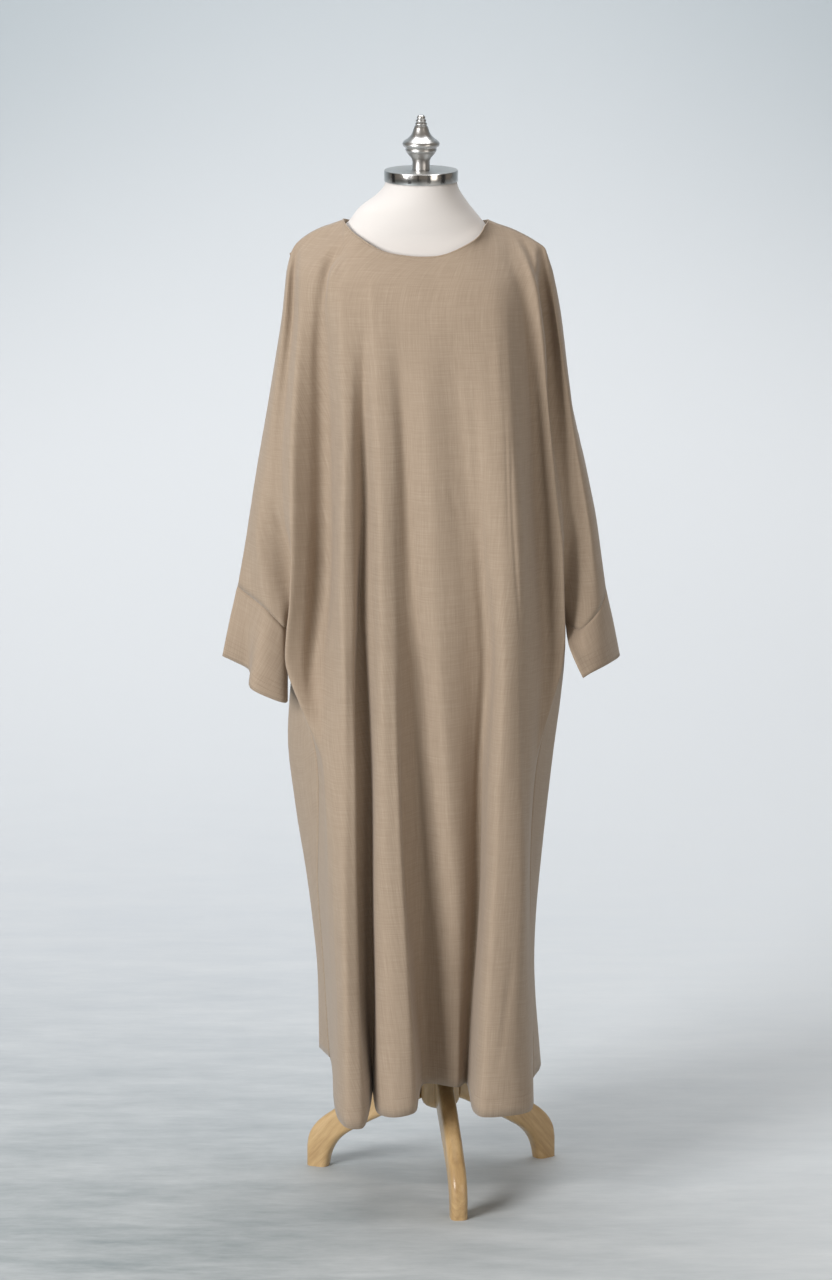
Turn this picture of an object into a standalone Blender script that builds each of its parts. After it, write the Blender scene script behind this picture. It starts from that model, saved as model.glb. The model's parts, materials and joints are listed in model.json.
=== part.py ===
"""Abaya cloak on a limbless dress form: one rigid object, in metres, +Z up, wearer's front towards -Y."""

import math

import bmesh
import bpy
import numpy as np
from mathutils import Vector
from mathutils.bvhtree import BVHTree

for obj in list(bpy.data.objects):
    bpy.data.objects.remove(obj, do_unlink=True)

MM = 0.001
CLOTH = 0.0016          # wall of every cloth piece
SEAM_PULL = 0.0003      # each piece stops this short of its seam line
CLEAR = 0.0032          # least distance from the cloth's outside to the form


def material(name, colour, roughness, metallic=0.0):
    made = bpy.data.materials.new(name)
    made.use_nodes = True
    shader = made.node_tree.nodes["Principled BSDF"]
    shader.inputs["Base Color"].default_value = (*colour, 1.0)
    shader.inputs["Roughness"].default_value = roughness
    shader.inputs["Metallic"].default_value = metallic
    return made


TAUPE = material("taupe_linen", (0.35, 0.27, 0.20), 0.92)
TAUPE_BAND = material("taupe_linen_band", (0.34, 0.26, 0.19), 0.92)
WHITE = material("white_form_cover", (0.80, 0.78, 0.75), 0.80)
STEEL = material("polished_steel", (0.60, 0.60, 0.58), 0.18, 1.0)
BEECH = material("varnished_beech", (0.62, 0.44, 0.24), 0.35)


def add_object(name, mesh, look):
    mesh.materials.append(look)
    made = bpy.data.objects.new(name, mesh)
    bpy.context.scene.collection.objects.link(made)
    return made


def from_bmesh(name, bm, look):
    bmesh.ops.recalc_face_normals(bm, faces=bm.faces)
    if bm.calc_volume(signed=True) < 0:
        bmesh.ops.reverse_faces(bm, faces=bm.faces)
    mesh = bpy.data.meshes.new(name)
    bm.to_mesh(mesh)
    bm.free()
    return add_object(name, mesh, look)


# ---------------------------------------------------------------- smooth curves


def tangents(keys):
    """Slopes against chord length at each of the key points, which run along axis 0."""
    step = np.linalg.norm(np.diff(keys, axis=0), axis=-1)
    step = np.maximum(step, 1e-6) ** 0.5
    slope = np.diff(keys, axis=0) / step[..., None]
    inner = (slope[:-1] * step[1:, ..., None] + slope[1:] * step[:-1, ..., None]) / (
        step[:-1] + step[1:]
    )[..., None]
    return step, np.concatenate([slope[:1], inner, slope[-1:]])


def smooth(keys, counts):
    """Points along the curve through the keys, counts[i] of them in span i, then the last key."""
    keys = np.asarray(keys, float)
    step, slope = tangents(keys)
    rows = []
    for i, count in enumerate(counts):
        h = step[i][..., None]
        for t in np.arange(count) / count:
            rows.append(
                (2 * t**3 - 3 * t**2 + 1) * keys[i]
                + (t**3 - 2 * t**2 + t) * h * slope[i]
                + (3 * t**2 - 2 * t**3) * keys[i + 1]
                + (t**3 - t**2) * h * slope[i + 1]
            )
    rows.append(keys[-1])
    return np.array(rows)


def smooth_ring(keys, counts):
    """As smooth, round a closed ring that starts at its first key."""
    keys = np.asarray(keys, float)
    wide = np.concatenate([keys[-2:], keys, keys[:3]])
    dense = smooth(wide, [1, 1] + list(counts) + [1, 1])
    return dense[2 : 2 + sum(counts)]


# ---------------------------------------------------------------- the dress form
# height, centre x, half width, centre y, half depth, squareness, all in mm but the last

FORM_SECTIONS = (
    (1591.2, 0, 55.0, 0, 55.0, 2.0),
    (1584.0, 0, 56.0, 0, 55.5, 2.0),
    (1573.0, -2, 63.5, 1, 57.0, 2.0),
    (1565.0, -4, 71.5, 2, 58.5, 2.0),
    (1555.0, -8, 82.5, 3, 59.5, 2.0),
    (1546.0, -9, 90.5, 4, 59.5, 2.0),
    (1536.0, -8, 98.0, 4, 59.0, 2.0),
    (1525.5, -8, 106.0, 4, 57.0, 2.0),
    (1513.0, -10, 124.0, 4, 54.0, 2.0),
    (1499.0, -9, 149.0, 4, 57.0, 2.0),
    (1483.0, -5, 168.0, 4, 64.0, 2.1),
    (1462.0, -1, 178.0, 4, 73.0, 2.2),
    (1435.0, 1, 180.0, 3, 86.0, 2.4),
    (1390.0, 2, 170.0, 2, 95.0, 2.3),
    (1330.0, 4, 160.0, 1, 101.0, 2.2),
    (1270.0, 5, 148.0, 4, 92.0, 2.1),
    (1200.0, 7, 128.0, 10, 78.0, 2.0),
    (1130.0, 8, 116.0, 15, 70.0, 2.0),
    (1060.0, 9, 124.0, 18, 72.0, 2.0),
    (980.0, 11, 141.0, 20, 80.0, 2.1),
    (910.0, 12, 146.0, 20, 82.0, 2.1),
    (868.0, 13, 143.0, 20, 80.0, 2.1),
    (858.0, 13, 136.0, 20, 74.0, 2.1),
)
FORM_SIDES = 32


def loft(rings, closed_ends=True):
    """A bmesh skin over rings of equal length, with a flat face over each end."""
    bm = bmesh.new()
    rows = [[bm.verts.new(p) for p in ring] for ring in rings]
    for upper, lower in zip(rows, rows[1:]):
        for i in range(len(upper)):
            j = (i + 1) % len(upper)
            bm.faces.new((upper[i], lower[i], lower[j], upper[j]))
    if closed_ends:
        bm.faces.new(rows[0])
        bm.faces.new(list(reversed(rows[-1])))
    return bm


def form_ring(z, cx, a, cy, b, n):
    ring = []
    for k in range(FORM_SIDES):
        t = 2 * math.pi * k / FORM_SIDES
        c, s = math.cos(t), math.sin(t)
        ring.append(
            (
                MM * (cx + a * math.copysign(abs(c) ** (2 / n), c)),
                MM * (cy + b * math.copysign(abs(s) ** (2 / n), s)),
                MM * z,
            )
        )
    return ring


bust_form = from_bmesh(
    "bust_form", loft([form_ring(*row) for row in FORM_SECTIONS]), WHITE
)
form_mesh = bmesh.new()
form_mesh.from_mesh(bust_form.data)
form_tree = BVHTree.FromBMesh(form_mesh)
form_mesh.free()


def lift(point):
    """How far, and which way, a point must move to stand the cloth's clearance off the form."""
    near, normal, _, _ = form_tree.find_nearest(Vector(point))
    away = Vector(point) - near
    outside = away.dot(normal) >= 0
    if outside and away.length >= CLEAR:
        return None
    return np.array(normal) * (CLEAR - away.length if outside else CLEAR + away.length)


def off_the_form(rows, tied=()):
    """Eases a grid of cloth outwards until its points, edges and quads all stand off the form."""
    rows = rows.copy()
    for _ in range(40):
        moves = np.zeros_like(rows)
        hits = np.zeros(rows.shape[:2])
        height, width = rows.shape[:2]
        for r in range(height):
            for c in range(width):
                for dr, dc in ((0, 0), (0, 1), (1, 0), (1, 1)):
                    if r + dr >= height:
                        continue
                    d = (c + dc) % width
                    corners = {(r, c), (r + dr, c), (r, d), (r + dr, d)}
                    moved = lift(sum(rows[k] for k in corners) / len(corners))
                    if moved is None:
                        continue
                    for k in corners:
                        moves[k] += moved
                        hits[k] += 1
        if not hits.any():
            break
        rows += moves / np.maximum(hits, 1)[..., None]
        for row, a, b in tied:
            rows[row, a] = rows[row, b] = (rows[row, a] + rows[row, b]) / 2
    return rows


# ---------------------------------------------------------------- the cloth, laid out as rings
# Each fold is a line that runs down the garment: its x, then its y, in mm at each height, then
# the height of the hem there. "across" is the number of mesh columns between it and the next.

HEIGHTS = (1450, 1380, 1220, 1100, 950, 850, 700, 500, 350)
SPANS = (4, 2, 2, 2, 3, 2, 2, 2, 2, 3)   # mesh rows from the top edge down to the hem

FRONT_FOLDS = (
    # name, across, x at each height and the hem, y at each height and the hem, hem height
    ("left_edge", 2, (-185, -186, -196, -198, -202, -207, -153, -150, -143, -138), (-45, -62, -80, -86, -88, -84, -90, -80, -60, -45), 176),
    ("left_dip", 2, (-153, -153, -152, -152, -154, -160, -150, -142, -136, -133), (-68, -68, -58, -56, -58, -68, -112, -120, -125, -150), 160),
    ("left_front", 2, (-122, -123, -117, -119, -121, -118, -117, -119, -116, -114), (-83, -104, -122, -125, -125, -130, -140, -162, -182, -208), 150),
    ("left_turn", 2, (-108, -105, -104, -103, -102, -104, -101, -99, -96, -89), (-87, -108, -120, -118, -118, -120, -134, -151, -170, -204), 149),
    ("deep_dip", 2, (-91, -87, -89, -88, -95, -90, -80, -78, -76, -75), (-90, -110, -101, -92, -86, -90, -97, -104, -112, -122), 185),
    ("centre_turn", 2, (-81, -77, -74, -71, -71, -72, -71, -71, -70, -68), (-92, -114, -124, -122, -118, -120, -130, -140, -152, -170), 164),
    ("centre_left", 2, (-73, -71, -64, -61, -61, -60, -58, -57, -52, -43), (-94, -117, -132, -134, -135, -140, -146, -158, -172, -192), 162),
    ("centre_fall", 2, (-50, -55, -44, -43, -40, -37, -35, -27, -19, -9), (-96, -119, -130, -130, -130, -134, -142, -155, -168, -182), 167),
    ("middle_dip", 3, (-29, -38, -23, -23, -21, -14, -7, 0, 3, 5), (-97, -119, -122, -118, -112, -101, -90, -83, -80, -80), 184),
    ("middle", 3, (5, 5, 11, 18, 23, 29, 40, 54, 58, 57), (-97, -122, -134, -132, -128, -124, -118, -112, -102, -100), 184),
    ("right_dip", 2, (36, 44, 62, 76, 99, 104, 95, 90, 81, 70), (-96, -121, -124, -119, -106, -92, -82, -75, -73, -76), 184),
    ("right_turn", 2, (68, 76, 86, 95, 111, 113, 104, 98, 89, 78), (-93, -119, -132, -130, -128, -128, -130, -136, -146, -160), 170),
    ("right_front", 3, (108, 112, 118, 123, 125, 126, 119, 111, 102, 93), (-84, -113, -136, -140, -142, -148, -154, -168, -184, -202), 166),
    ("right_fall", 2, (130, 132, 140, 149, 153, 155, 155, 156, 151, 147), (-72, -102, -127, -131, -132, -133, -138, -149, -166, -188), 165),
    ("right_second_dip", 2, (158, 165, 175, 178, 189, 193, 176, 166, 169, 170), (-53, -65, -62, -57, -54, -58, -86, -96, -110, -160), 164),
    ("right_edge", 2, (176, 182, 199, 212, 220, 219, 178, 169, 173, 175), (-44, -63, -71, -68, -66, -58, -74, -72, -72, -80), 168),
)
BACK_FOLDS = (
    ("right_corner", 3, (170, 174, 186, 196, 212, 223, 208, 187, 177, 189), (58, 72, 82, 86, 75, 25, 32, 52, 72, 108), 169),
    ("right_back_dip", 4, (142, 146, 152, 158, 172, 196, 182, 166, 160, 166), (70, 88, 98, 100, 98, 92, 86, 84, 88, 112), 176),
    ("right_back", 3, (100, 104, 112, 118, 128, 140, 142, 138, 134, 138), (78, 98, 116, 122, 130, 134, 140, 146, 154, 172), 166),
    ("right_mid_dip", 3, (70, 74, 78, 82, 90, 96, 98, 98, 96, 98), (80, 100, 114, 116, 118, 116, 114, 114, 116, 128), 178),
    ("right_mid", 3, (42, 44, 48, 50, 54, 58, 60, 60, 58, 58), (82, 103, 122, 130, 140, 146, 156, 168, 178, 196), 164),
    ("back_dip", 3, (8, 10, 12, 14, 16, 18, 18, 16, 14, 12), (83, 104, 120, 124, 126, 124, 124, 128, 130, 142), 176),
    ("left_mid", 3, (-28, -28, -26, -26, -26, -26, -28, -32, -36, -40), (82, 103, 122, 132, 142, 148, 158, 170, 180, 200), 163),
    ("left_mid_dip", 3, (-66, -68, -70, -72, -76, -78, -80, -82, -84, -86), (80, 100, 112, 114, 114, 112, 112, 114, 118, 130), 178),
    ("left_back", 2, (-112, -114, -116, -120, -124, -128, -130, -128, -124, -122), (77, 96, 114, 120, 128, 132, 138, 146, 154, 172), 167),
    ("left_back_dip", 2, (-146, -150, -156, -160, -166, -172, -168, -150, -142, -140), (68, 84, 94, 96, 96, 96, 96, 98, 104, 124), 180),
    ("left_corner", 2, (-172, -176, -186, -190, -194, -198, -208, -181, -164, -161), (56, 68, 76, 80, 72, 30, 40, 60, 80, 118), 189),
)
# The side seams, from the underarm point down: (x, y, z) at each height from 950 down, and the hem.
LEFT_SIDE_SEAM = ((-191, -34, 950), (-199, -15, 850), (-161, -60, 700), (-161, -20, 500), (-153, 20, 350), (-144, 60, 187))
RIGHT_SIDE_SEAM = ((215, -22, 950), (219, -24, 850), (181, -50, 700), (170, -40, 500), (173, -30, 350), (177, 0, 171))

# The sleeves above the underarm: (x, y, z) at heights 1450, 1380, 1220, 1100 and 950. Their rows slant
# down to the underarm. "inner" is the valley between sleeve and body.
SLEEVE_LINES = {
    "left_outer": ((-206, 3, 1452), (-213.5, 4, 1380), (-236, 5, 1240), (-250, 5, 1160), (-266, 5, 1065)),
    "left_front": ((-203, -23, 1450), (-209, -32, 1380), (-228, -34, 1240), (-240, -36, 1140), (-251, -38, 1030)),
    "left_inner_front": ((-197, -18, 1450), (-200, -27, 1380), (-213, -44, 1220), (-212, -54, 1100), (-191, -34, 950)),
    "left_back": ((-203, 18, 1450), (-209, 32, 1380), (-230, 38, 1240), (-243, 40, 1150), (-255, 40, 1045)),
    "left_inner_back": ((-190, 45, 1450), (-192, 55, 1380), (-200, 58, 1220), (-200, 44, 1100), (-191, -34, 950)),
    "right_outer": ((203, 3, 1450), (215.5, 4, 1380), (233, 8, 1240), (251, 12, 1165), (271, 18, 1065)),
    "right_front": ((197, -14, 1448), (207, -28, 1380), (231, -36, 1235), (248, -40, 1140), (263, -41, 1030)),
    "right_inner_front": ((187, -15, 1450), (194, -21, 1380), (208, -36, 1220), (221, -42, 1100), (215, -22, 950)),
    "right_back": ((197, 20, 1450), (208, 36, 1380), (230, 48, 1240), (247, 52, 1155), (262, 52, 1045)),
    "right_inner_back": ((186, 45, 1450), (190, 60, 1380), (203, 70, 1220), (212, 66, 1100), (215, -22, 950)),
}
# The sleeve end as closed rings, outer edge, front, underarm, back: (x, y, z) at the band's seam,
# half way down the band, and at its edge. "across" as above.
LEFT_BAND = (
    # name, across, seam, middle, edge
    ("outer", 2, (-284.5, 5, 960), (-296.5, 5, 906), (-308.5, 5, 849)),
    ("step", 1, (-262, -14, 945), (-267, -9, 886), (-267, -3, 829)),
    ("front", 2, (-240, -35, 931), (-250, -46, 872), (-263.5, -56, 811)),
    ("front_inner", 1, (-211, -38, 903), (-210, -44, 845), (-209.5, -49, 786)),
    ("underarm", 1, (-205.5, 3, 895), (-206.5, -3, 840), (-207, -9, 789)),
    ("back_inner", 2, (-214, 37, 908), (-216, 35, 856), (-219, 30, 802)),
    ("back", 3, (-247, 38, 943), (-252, 36, 890), (-259, 33, 835)),
)
RIGHT_BAND = (
    ("outer", 3, (286, 24, 957), (298, 27, 902), (309, 30, 846)),
    ("front", 2, (274, -44, 928), (278, -56, 885), (283, -62, 846)),
    ("front_inner", 1, (244, -58, 903), (250, -76, 867), (260, -88, 839)),
    ("underarm", 1, (223, -16, 908), (230, -61, 873), (249, -88, 833)),
    ("back_inner", 2, (232, 14, 915), (244, -10, 880), (262, -30, 843)),
    ("back", 3, (262, 42, 942), (274, 38, 893), (287, 30, 845)),
)

# The top edge: shoulder seams from tip to neck, and the two halves of the neckline.
LEFT_SHOULDER = ((-200.5, 2, 1480), (-193, 3, 1493), (-177, 4, 1507.5), (-150, 4, 1522.5), (-119, 2, 1530.5))
RIGHT_SHOULDER = ((194, 2, 1478), (189.7, 2, 1488.5), (175.2, 3, 1499), (143.8, 4, 1516), (104, 2, 1530.5))
FRONT_NECKLINE = ((-119, 2, 1530.5), (-114.5, -22, 1525.5), (-105, -38, 1517.5), (-88.2, -52, 1507), (-57.8, -65, 1492), (-26, -71.5, 1486.5), (0.8, -73, 1484.8),
                  (32, -71, 1487), (62.3, -61.5, 1497.6), (86.7, -46, 1510.5), (97.6, -26, 1524.5), (104, 2, 1530.5))
BACK_NECKLINE = ((104, 2, 1530.5), (100, 28, 1526), (80, 51, 1522), (42, 66, 1520), (0, 70, 1519), (-48, 67, 1520), (-92, 53, 1522), (-114, 28, 1526), (-119, 2, 1530.5))
# Share of the shoulder seam at each fold, from the tip: outer, front or back, inner, then the body's folds.
LEFT_SHARES = (0.0, 0.10, 0.20, 0.32, 0.64, 1.0)
RIGHT_SHARES = (0.0, 0.08, 0.16, 0.26, 0.42, 0.66, 1.0)
RIGHT_BACK_SHARES = (0.0, 0.08, 0.16, 0.27, 0.60, 1.0)

SLEEVE_ACROSS = 3       # mesh columns from the sleeve's outer seam to its middle, and on to the valley


def at_shares(line, shares):
    """Points on a smooth line at the given shares of its length."""
    dense = smooth(np.array(line) * MM, [12] * (len(line) - 1))
    run = np.concatenate([[0], np.cumsum(np.linalg.norm(np.diff(dense, axis=0), axis=1))])
    return np.stack([np.interp(np.array(shares) * run[-1], run, dense[:, k]) for k in range(3)], axis=1)


def fill_shares(shares, counts):
    """The share at each mesh column, evenly between the folds."""
    out = []
    for a, b, count in zip(shares, shares[1:], counts):
        out += [a + (b - a) * k / count for k in range(count)]
    return out + [shares[-1]]


front_counts = [SLEEVE_ACROSS, SLEEVE_ACROSS, 2] + [row[1] for row in FRONT_FOLDS] + [SLEEVE_ACROSS, SLEEVE_ACROSS]
back_counts = [SLEEVE_ACROSS, SLEEVE_ACROSS, 2] + [row[1] for row in BACK_FOLDS] + [SLEEVE_ACROSS, SLEEVE_ACROSS]
FRONT_WIDE, BACK_WIDE = sum(front_counts), sum(back_counts)
RING = FRONT_WIDE + BACK_WIDE

# Columns at which each pass crosses the neck points and the underarm valleys.
neck_left = sum(front_counts[:5])                      # the fold left_front
neck_right = FRONT_WIDE - sum(front_counts[-6:])       # the fold right_front
back_neck_right = FRONT_WIDE + sum(back_counts[:5])    # the fold right_back
back_neck_left = RING - sum(back_counts[-5:])          # the fold left_back
ARM = 2 * SLEEVE_ACROSS
valley = {
    "left_front": ARM,
    "right_front": FRONT_WIDE - ARM,
    "right_back": FRONT_WIDE + ARM,
    "left_back": RING - ARM,
}


def top_ring():
    ring = np.zeros((RING, 3))
    left = at_shares(LEFT_SHOULDER, fill_shares(LEFT_SHARES, front_counts[:5]))
    right = at_shares(RIGHT_SHOULDER, fill_shares(RIGHT_SHARES, front_counts[:-7:-1]))
    ring[: neck_left + 1] = left
    ring[neck_right : FRONT_WIDE + 1] = right[::-1]
    ring[neck_left : neck_right + 1] = at_shares(
        FRONT_NECKLINE, np.linspace(0, 1, neck_right - neck_left + 1)
    )
    # The back shares both shoulder seams, so its columns there are the front's own.
    ring[FRONT_WIDE : back_neck_right + 1] = right
    ring[back_neck_left:] = left[::-1][:-1]
    ring[back_neck_right : back_neck_left + 1] = at_shares(
        BACK_NECKLINE, np.linspace(0, 1, back_neck_left - back_neck_right + 1)
    )
    return ring


def fold_point(fold, level):
    _, _, xs, ys, hem = fold
    z = HEIGHTS[level] if level < len(HEIGHTS) else hem
    return (xs[level], ys[level], z)


def whole_ring(level):
    """The garment's closed section at one of the first five heights, sleeves and body in one."""
    line = {name: points[level] for name, points in SLEEVE_LINES.items()}
    keys = [line["left_outer"], line["left_front"], line["left_inner_front"]]
    keys += [fold_point(fold, level) for fold in FRONT_FOLDS]
    keys += [line["right_inner_front"], line["right_front"], line["right_outer"]]
    keys += [line["right_back"], line["right_inner_back"]]
    keys += [fold_point(fold, level) for fold in BACK_FOLDS]
    keys += [line["left_inner_back"], line["left_back"]]
    return smooth_ring(np.array(keys) * MM, front_counts + back_counts)


body_counts = front_counts[2:-2] + back_counts[2:-2]


def body_ring(level):
    """The skirt's closed section below the underarms, from the left side seam round by the front."""
    keys = [LEFT_SIDE_SEAM[level - 4]]
    keys += [fold_point(fold, level) for fold in FRONT_FOLDS]
    keys += [RIGHT_SIDE_SEAM[level - 4]]
    keys += [fold_point(fold, level) for fold in BACK_FOLDS]
    return smooth_ring(np.array(keys) * MM, body_counts)


def band_ring(band, which):
    return smooth_ring(np.array([row[2 + which] for row in band]) * MM, [row[1] for row in band])


whole = [top_ring()] + [whole_ring(level) for level in range(5)]
skirt = [body_ring(level) for level in range(5, 10)]
left_band = [band_ring(LEFT_BAND, k) for k in range(3)]
right_band = [band_ring(RIGHT_BAND, k) for k in range(3)]

# Which ring columns go on into the skirt and into each sleeve, in the order of those rings.
skirt_columns = list(range(valley["left_front"], valley["right_front"] + 1)) + list(
    range(valley["right_back"] + 1, valley["left_back"])
)
left_columns = list(range(0, ARM + 1)) + list(range(valley["left_back"] + 1, RING))
right_columns = list(range(FRONT_WIDE, valley["right_front"] - 1, -1)) + list(
    range(valley["right_back"] - 1, FRONT_WIDE, -1)
)

below = np.zeros((RING, 3))                      # the next ring down, whichever way each column goes
below[left_columns] = left_band[0]
below[right_columns] = right_band[0]
below[skirt_columns] = skirt[0]
below[valley["left_back"]] = below[valley["left_front"]]
below[valley["right_back"]] = below[valley["right_front"]]

cape_rows = smooth(np.array(whole + [below]), list(SPANS[:5]) + [1])[: sum(SPANS[:5]) + 1]


def skirt_column(ring_row):
    return ring_row[skirt_columns]


skirt_keys = np.array([skirt_column(whole[4]), skirt_column(whole[5])] + skirt)
skirt_rows = smooth(skirt_keys, [1] + list(SPANS[5:]))[1:]


def sleeve_rows(columns, band):
    keys = np.array([whole[4][columns], whole[5][columns]] + band)
    dense = smooth(keys, [1, 2, 2, 2])[1:]
    return dense[:3], dense[2:]


left_sleeve, left_cuff = sleeve_rows(left_columns, left_band)
right_sleeve, right_cuff = sleeve_rows(right_columns, right_band)

tied = [(0, k, RING - k) for k in range(1, neck_left + 1)]
tied += [(0, FRONT_WIDE - k, FRONT_WIDE + k) for k in range(1, FRONT_WIDE - neck_right + 1)]
tied += [(-1, valley[side + "_front"], valley[side + "_back"]) for side in ("left", "right")]
cape_rows = off_the_form(cape_rows, tied)
skirt_rows[1:] = off_the_form(skirt_rows[1:])
skirt_rows[0] = cape_rows[-1][skirt_columns]
left_sleeve[0] = cape_rows[-1][left_columns]
right_sleeve[0] = cape_rows[-1][right_columns]


# ---------------------------------------------------------------- sewing the rings into pieces


class Garment:
    """All the cloth as one surface, each face marked with its piece, so that normals run across seams."""

    def __init__(self):
        self.index, self.points, self.faces, self.piece = {}, [], [], []

    def vertex(self, p):
        key = tuple(np.round(np.asarray(p) * 1e6).astype(int))
        if key not in self.index:
            self.index[key] = len(self.points)
            self.points.append(np.asarray(p, float))
        return self.index[key]

    def quad(self, piece, corners):
        ids = []
        for p in corners:
            i = self.vertex(p)
            if i not in ids:
                ids.append(i)
        if len(ids) > 2:
            self.faces.append(ids)
            self.piece.append(piece)

    def grid(self, rows, pairs, piece_of, flip=False):
        for upper, lower in zip(rows, rows[1:]):
            for a, b in pairs:
                corners = (upper[a], lower[a], lower[b], upper[b])
                self.quad(piece_of(a, b), corners[::-1] if flip else corners)

    def normals(self):
        points = np.array(self.points)
        total = np.zeros_like(points)
        for face in self.faces:
            corners = points[face]
            normal = sum(
                np.cross(corners[i] - corners[0], corners[i + 1] - corners[0])
                for i in range(1, len(face) - 1)
            )
            total[face] += normal
        return points, total / np.maximum(np.linalg.norm(total, axis=1), 1e-12)[:, None]

    def shells(self, names, wall, pull, crotches):
        """One closed mesh for each piece: the outside, an inside one wall in, and a rim."""
        points, normals = self.normals()
        for p in crotches:
            normals[self.vertex(p)] = (0, 0, -1)
        owners = [set() for _ in points]
        for face, piece in zip(self.faces, self.piece):
            for i in face:
                owners[i].add(piece)
        made = {}
        for name in names:
            faces = [f for f, piece in zip(self.faces, self.piece) if piece == name]
            used = sorted({i for f in faces for i in f})
            centre = {i: [] for i in used}
            for f in faces:
                middle = points[f].mean(axis=0)
                for i in f:
                    centre[i].append(middle)
            beside = {i: set() for i in used}
            for f in faces:
                for a, b in zip(f, f[1:] + f[:1]):
                    beside[a].add(b)
                    beside[b].add(a)
            outer = {}
            for i in used:
                p = points[i].copy()
                if len(owners[i]) > 1:
                    own = [j for j in beside[i] if len(owners[j]) == 1]
                    seam = [j for j in beside[i] if len(owners[j]) > 1]
                    way = np.mean([points[j] for j in own] or centre[i], axis=0) - p
                    way -= normals[i] * way.dot(normals[i])
                    if len(seam) == 2:
                        along = points[seam[0]] - points[seam[1]]
                        along /= np.linalg.norm(along)
                        way -= along * way.dot(along)
                    p += way / max(np.linalg.norm(way), 1e-9) * pull * (1.6 if len(owners[i]) > 2 else 1)
                outer[i] = p
            bm = bmesh.new()
            top = {i: bm.verts.new(outer[i]) for i in used}
            under = {i: bm.verts.new(outer[i] - normals[i] * wall) for i in used}
            edges = {}
            for f in faces:
                # The same diagonal outside and inside, so that a twisted quad keeps its wall.
                for corners in ([f] if len(f) == 3 else [(f[0], f[1], f[2]), (f[0], f[2], f[3])]):
                    bm.faces.new([top[i] for i in corners])
                    bm.faces.new([under[i] for i in reversed(corners)])
                for a, b in zip(f, f[1:] + f[:1]):
                    edges[(a, b)] = edges.get((a, b), 0) + 1
            for a, b in edges:
                if (b, a) not in edges:
                    bm.faces.new((top[b], top[a], under[a], under[b]))
            made[name] = bm
        return made


garment = Garment()
ring_pairs = [(c, (c + 1) % RING) for c in range(RING)]


def cape_piece(a, b):
    return "front_panel" if a < FRONT_WIDE else "back_panel"


garment.grid(cape_rows, ring_pairs, cape_piece)
wide_front = valley["right_front"] - valley["left_front"]
skirt_wide = len(skirt_columns)
garment.grid(
    skirt_rows,
    [(c, (c + 1) % skirt_wide) for c in range(skirt_wide)],
    lambda a, b: "front_panel" if a < wide_front else "back_panel",
)
arm_wide = len(left_columns)
arm_pairs = [(c, (c + 1) % arm_wide) for c in range(arm_wide)]
arm_piece = lambda a, b: "front_panel" if a < ARM else "back_panel"
garment.grid(left_sleeve, arm_pairs, arm_piece)
garment.grid(left_cuff, arm_pairs, lambda a, b: "cuff_left")
garment.grid(right_sleeve, arm_pairs, arm_piece, flip=True)
garment.grid(right_cuff, arm_pairs, lambda a, b: "cuff_right", flip=True)

crotches = [cape_rows[-1][valley["left_front"]], cape_rows[-1][valley["right_front"]]]
shells = garment.shells(
    ("front_panel", "back_panel", "cuff_left", "cuff_right"), CLOTH, SEAM_PULL, crotches
)
for name, bm in shells.items():
    from_bmesh(name, bm, TAUPE if "panel" in name else TAUPE_BAND)

# The neck binding: a narrow folded strip round the neckline, its lower edge just clear of the panels.
BINDING_HIGH, BINDING_THICK = 0.0030, 0.0026
points, normals = garment.normals()
neck_columns = list(range(neck_left, neck_right)) + list(range(back_neck_right, back_neck_left))
sections = []
for c in neck_columns:
    edge, next_down = cape_rows[0][c], cape_rows[1][c]
    normal = normals[garment.vertex(edge)]
    up = edge - next_down
    up -= normal * up.dot(normal)
    up /= np.linalg.norm(up)
    centre = edge + up * (0.0017 + BINDING_HIGH / 2) - normal * CLOTH / 2
    sections.append(
        [
            centre
            + up * BINDING_HIGH / 2 * math.cos(2 * math.pi * k / 6)
            + normal * BINDING_THICK / 2 * math.sin(2 * math.pi * k / 6)
            for k in range(6)
        ]
    )
binding = loft(sections + [sections[0]], closed_ends=False)
bmesh.ops.remove_doubles(binding, verts=binding.verts, dist=1e-6)
from_bmesh("neck_binding", binding, TAUPE_BAND)


# ---------------------------------------------------------------- cap, finial and stand


def turned(name, profile, look, axis=(0.0, 0.0), sides=32):
    """A solid of revolution about an upright axis, from (radius, height) pairs top to bottom, in mm."""
    bm = bmesh.new()
    line = [bm.verts.new((axis[0] + r * MM, axis[1], z * MM)) for r, z in profile]
    edges = [bm.edges.new(pair) for pair in zip(line, line[1:])]
    bmesh.ops.spin(
        bm,
        geom=line + edges,
        cent=(axis[0], axis[1], 0),
        axis=(0, 0, 1),
        angle=2 * math.pi,
        steps=sides,
        use_merge=True,
    )
    bmesh.ops.remove_doubles(bm, verts=bm.verts, dist=1e-6)
    bmesh.ops.dissolve_degenerate(bm, edges=bm.edges, dist=1e-6)
    return from_bmesh(name, bm, look)


NECK_CAP = ((0, 1609.0), (54.8, 1609.0), (56.2, 1608.3), (56.6, 1607.0), (56.6, 1593.0), (56.2, 1591.8), (55.0, 1591.5), (0, 1591.5))
turned("neck_cap", NECK_CAP, STEEL, sides=40)

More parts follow.
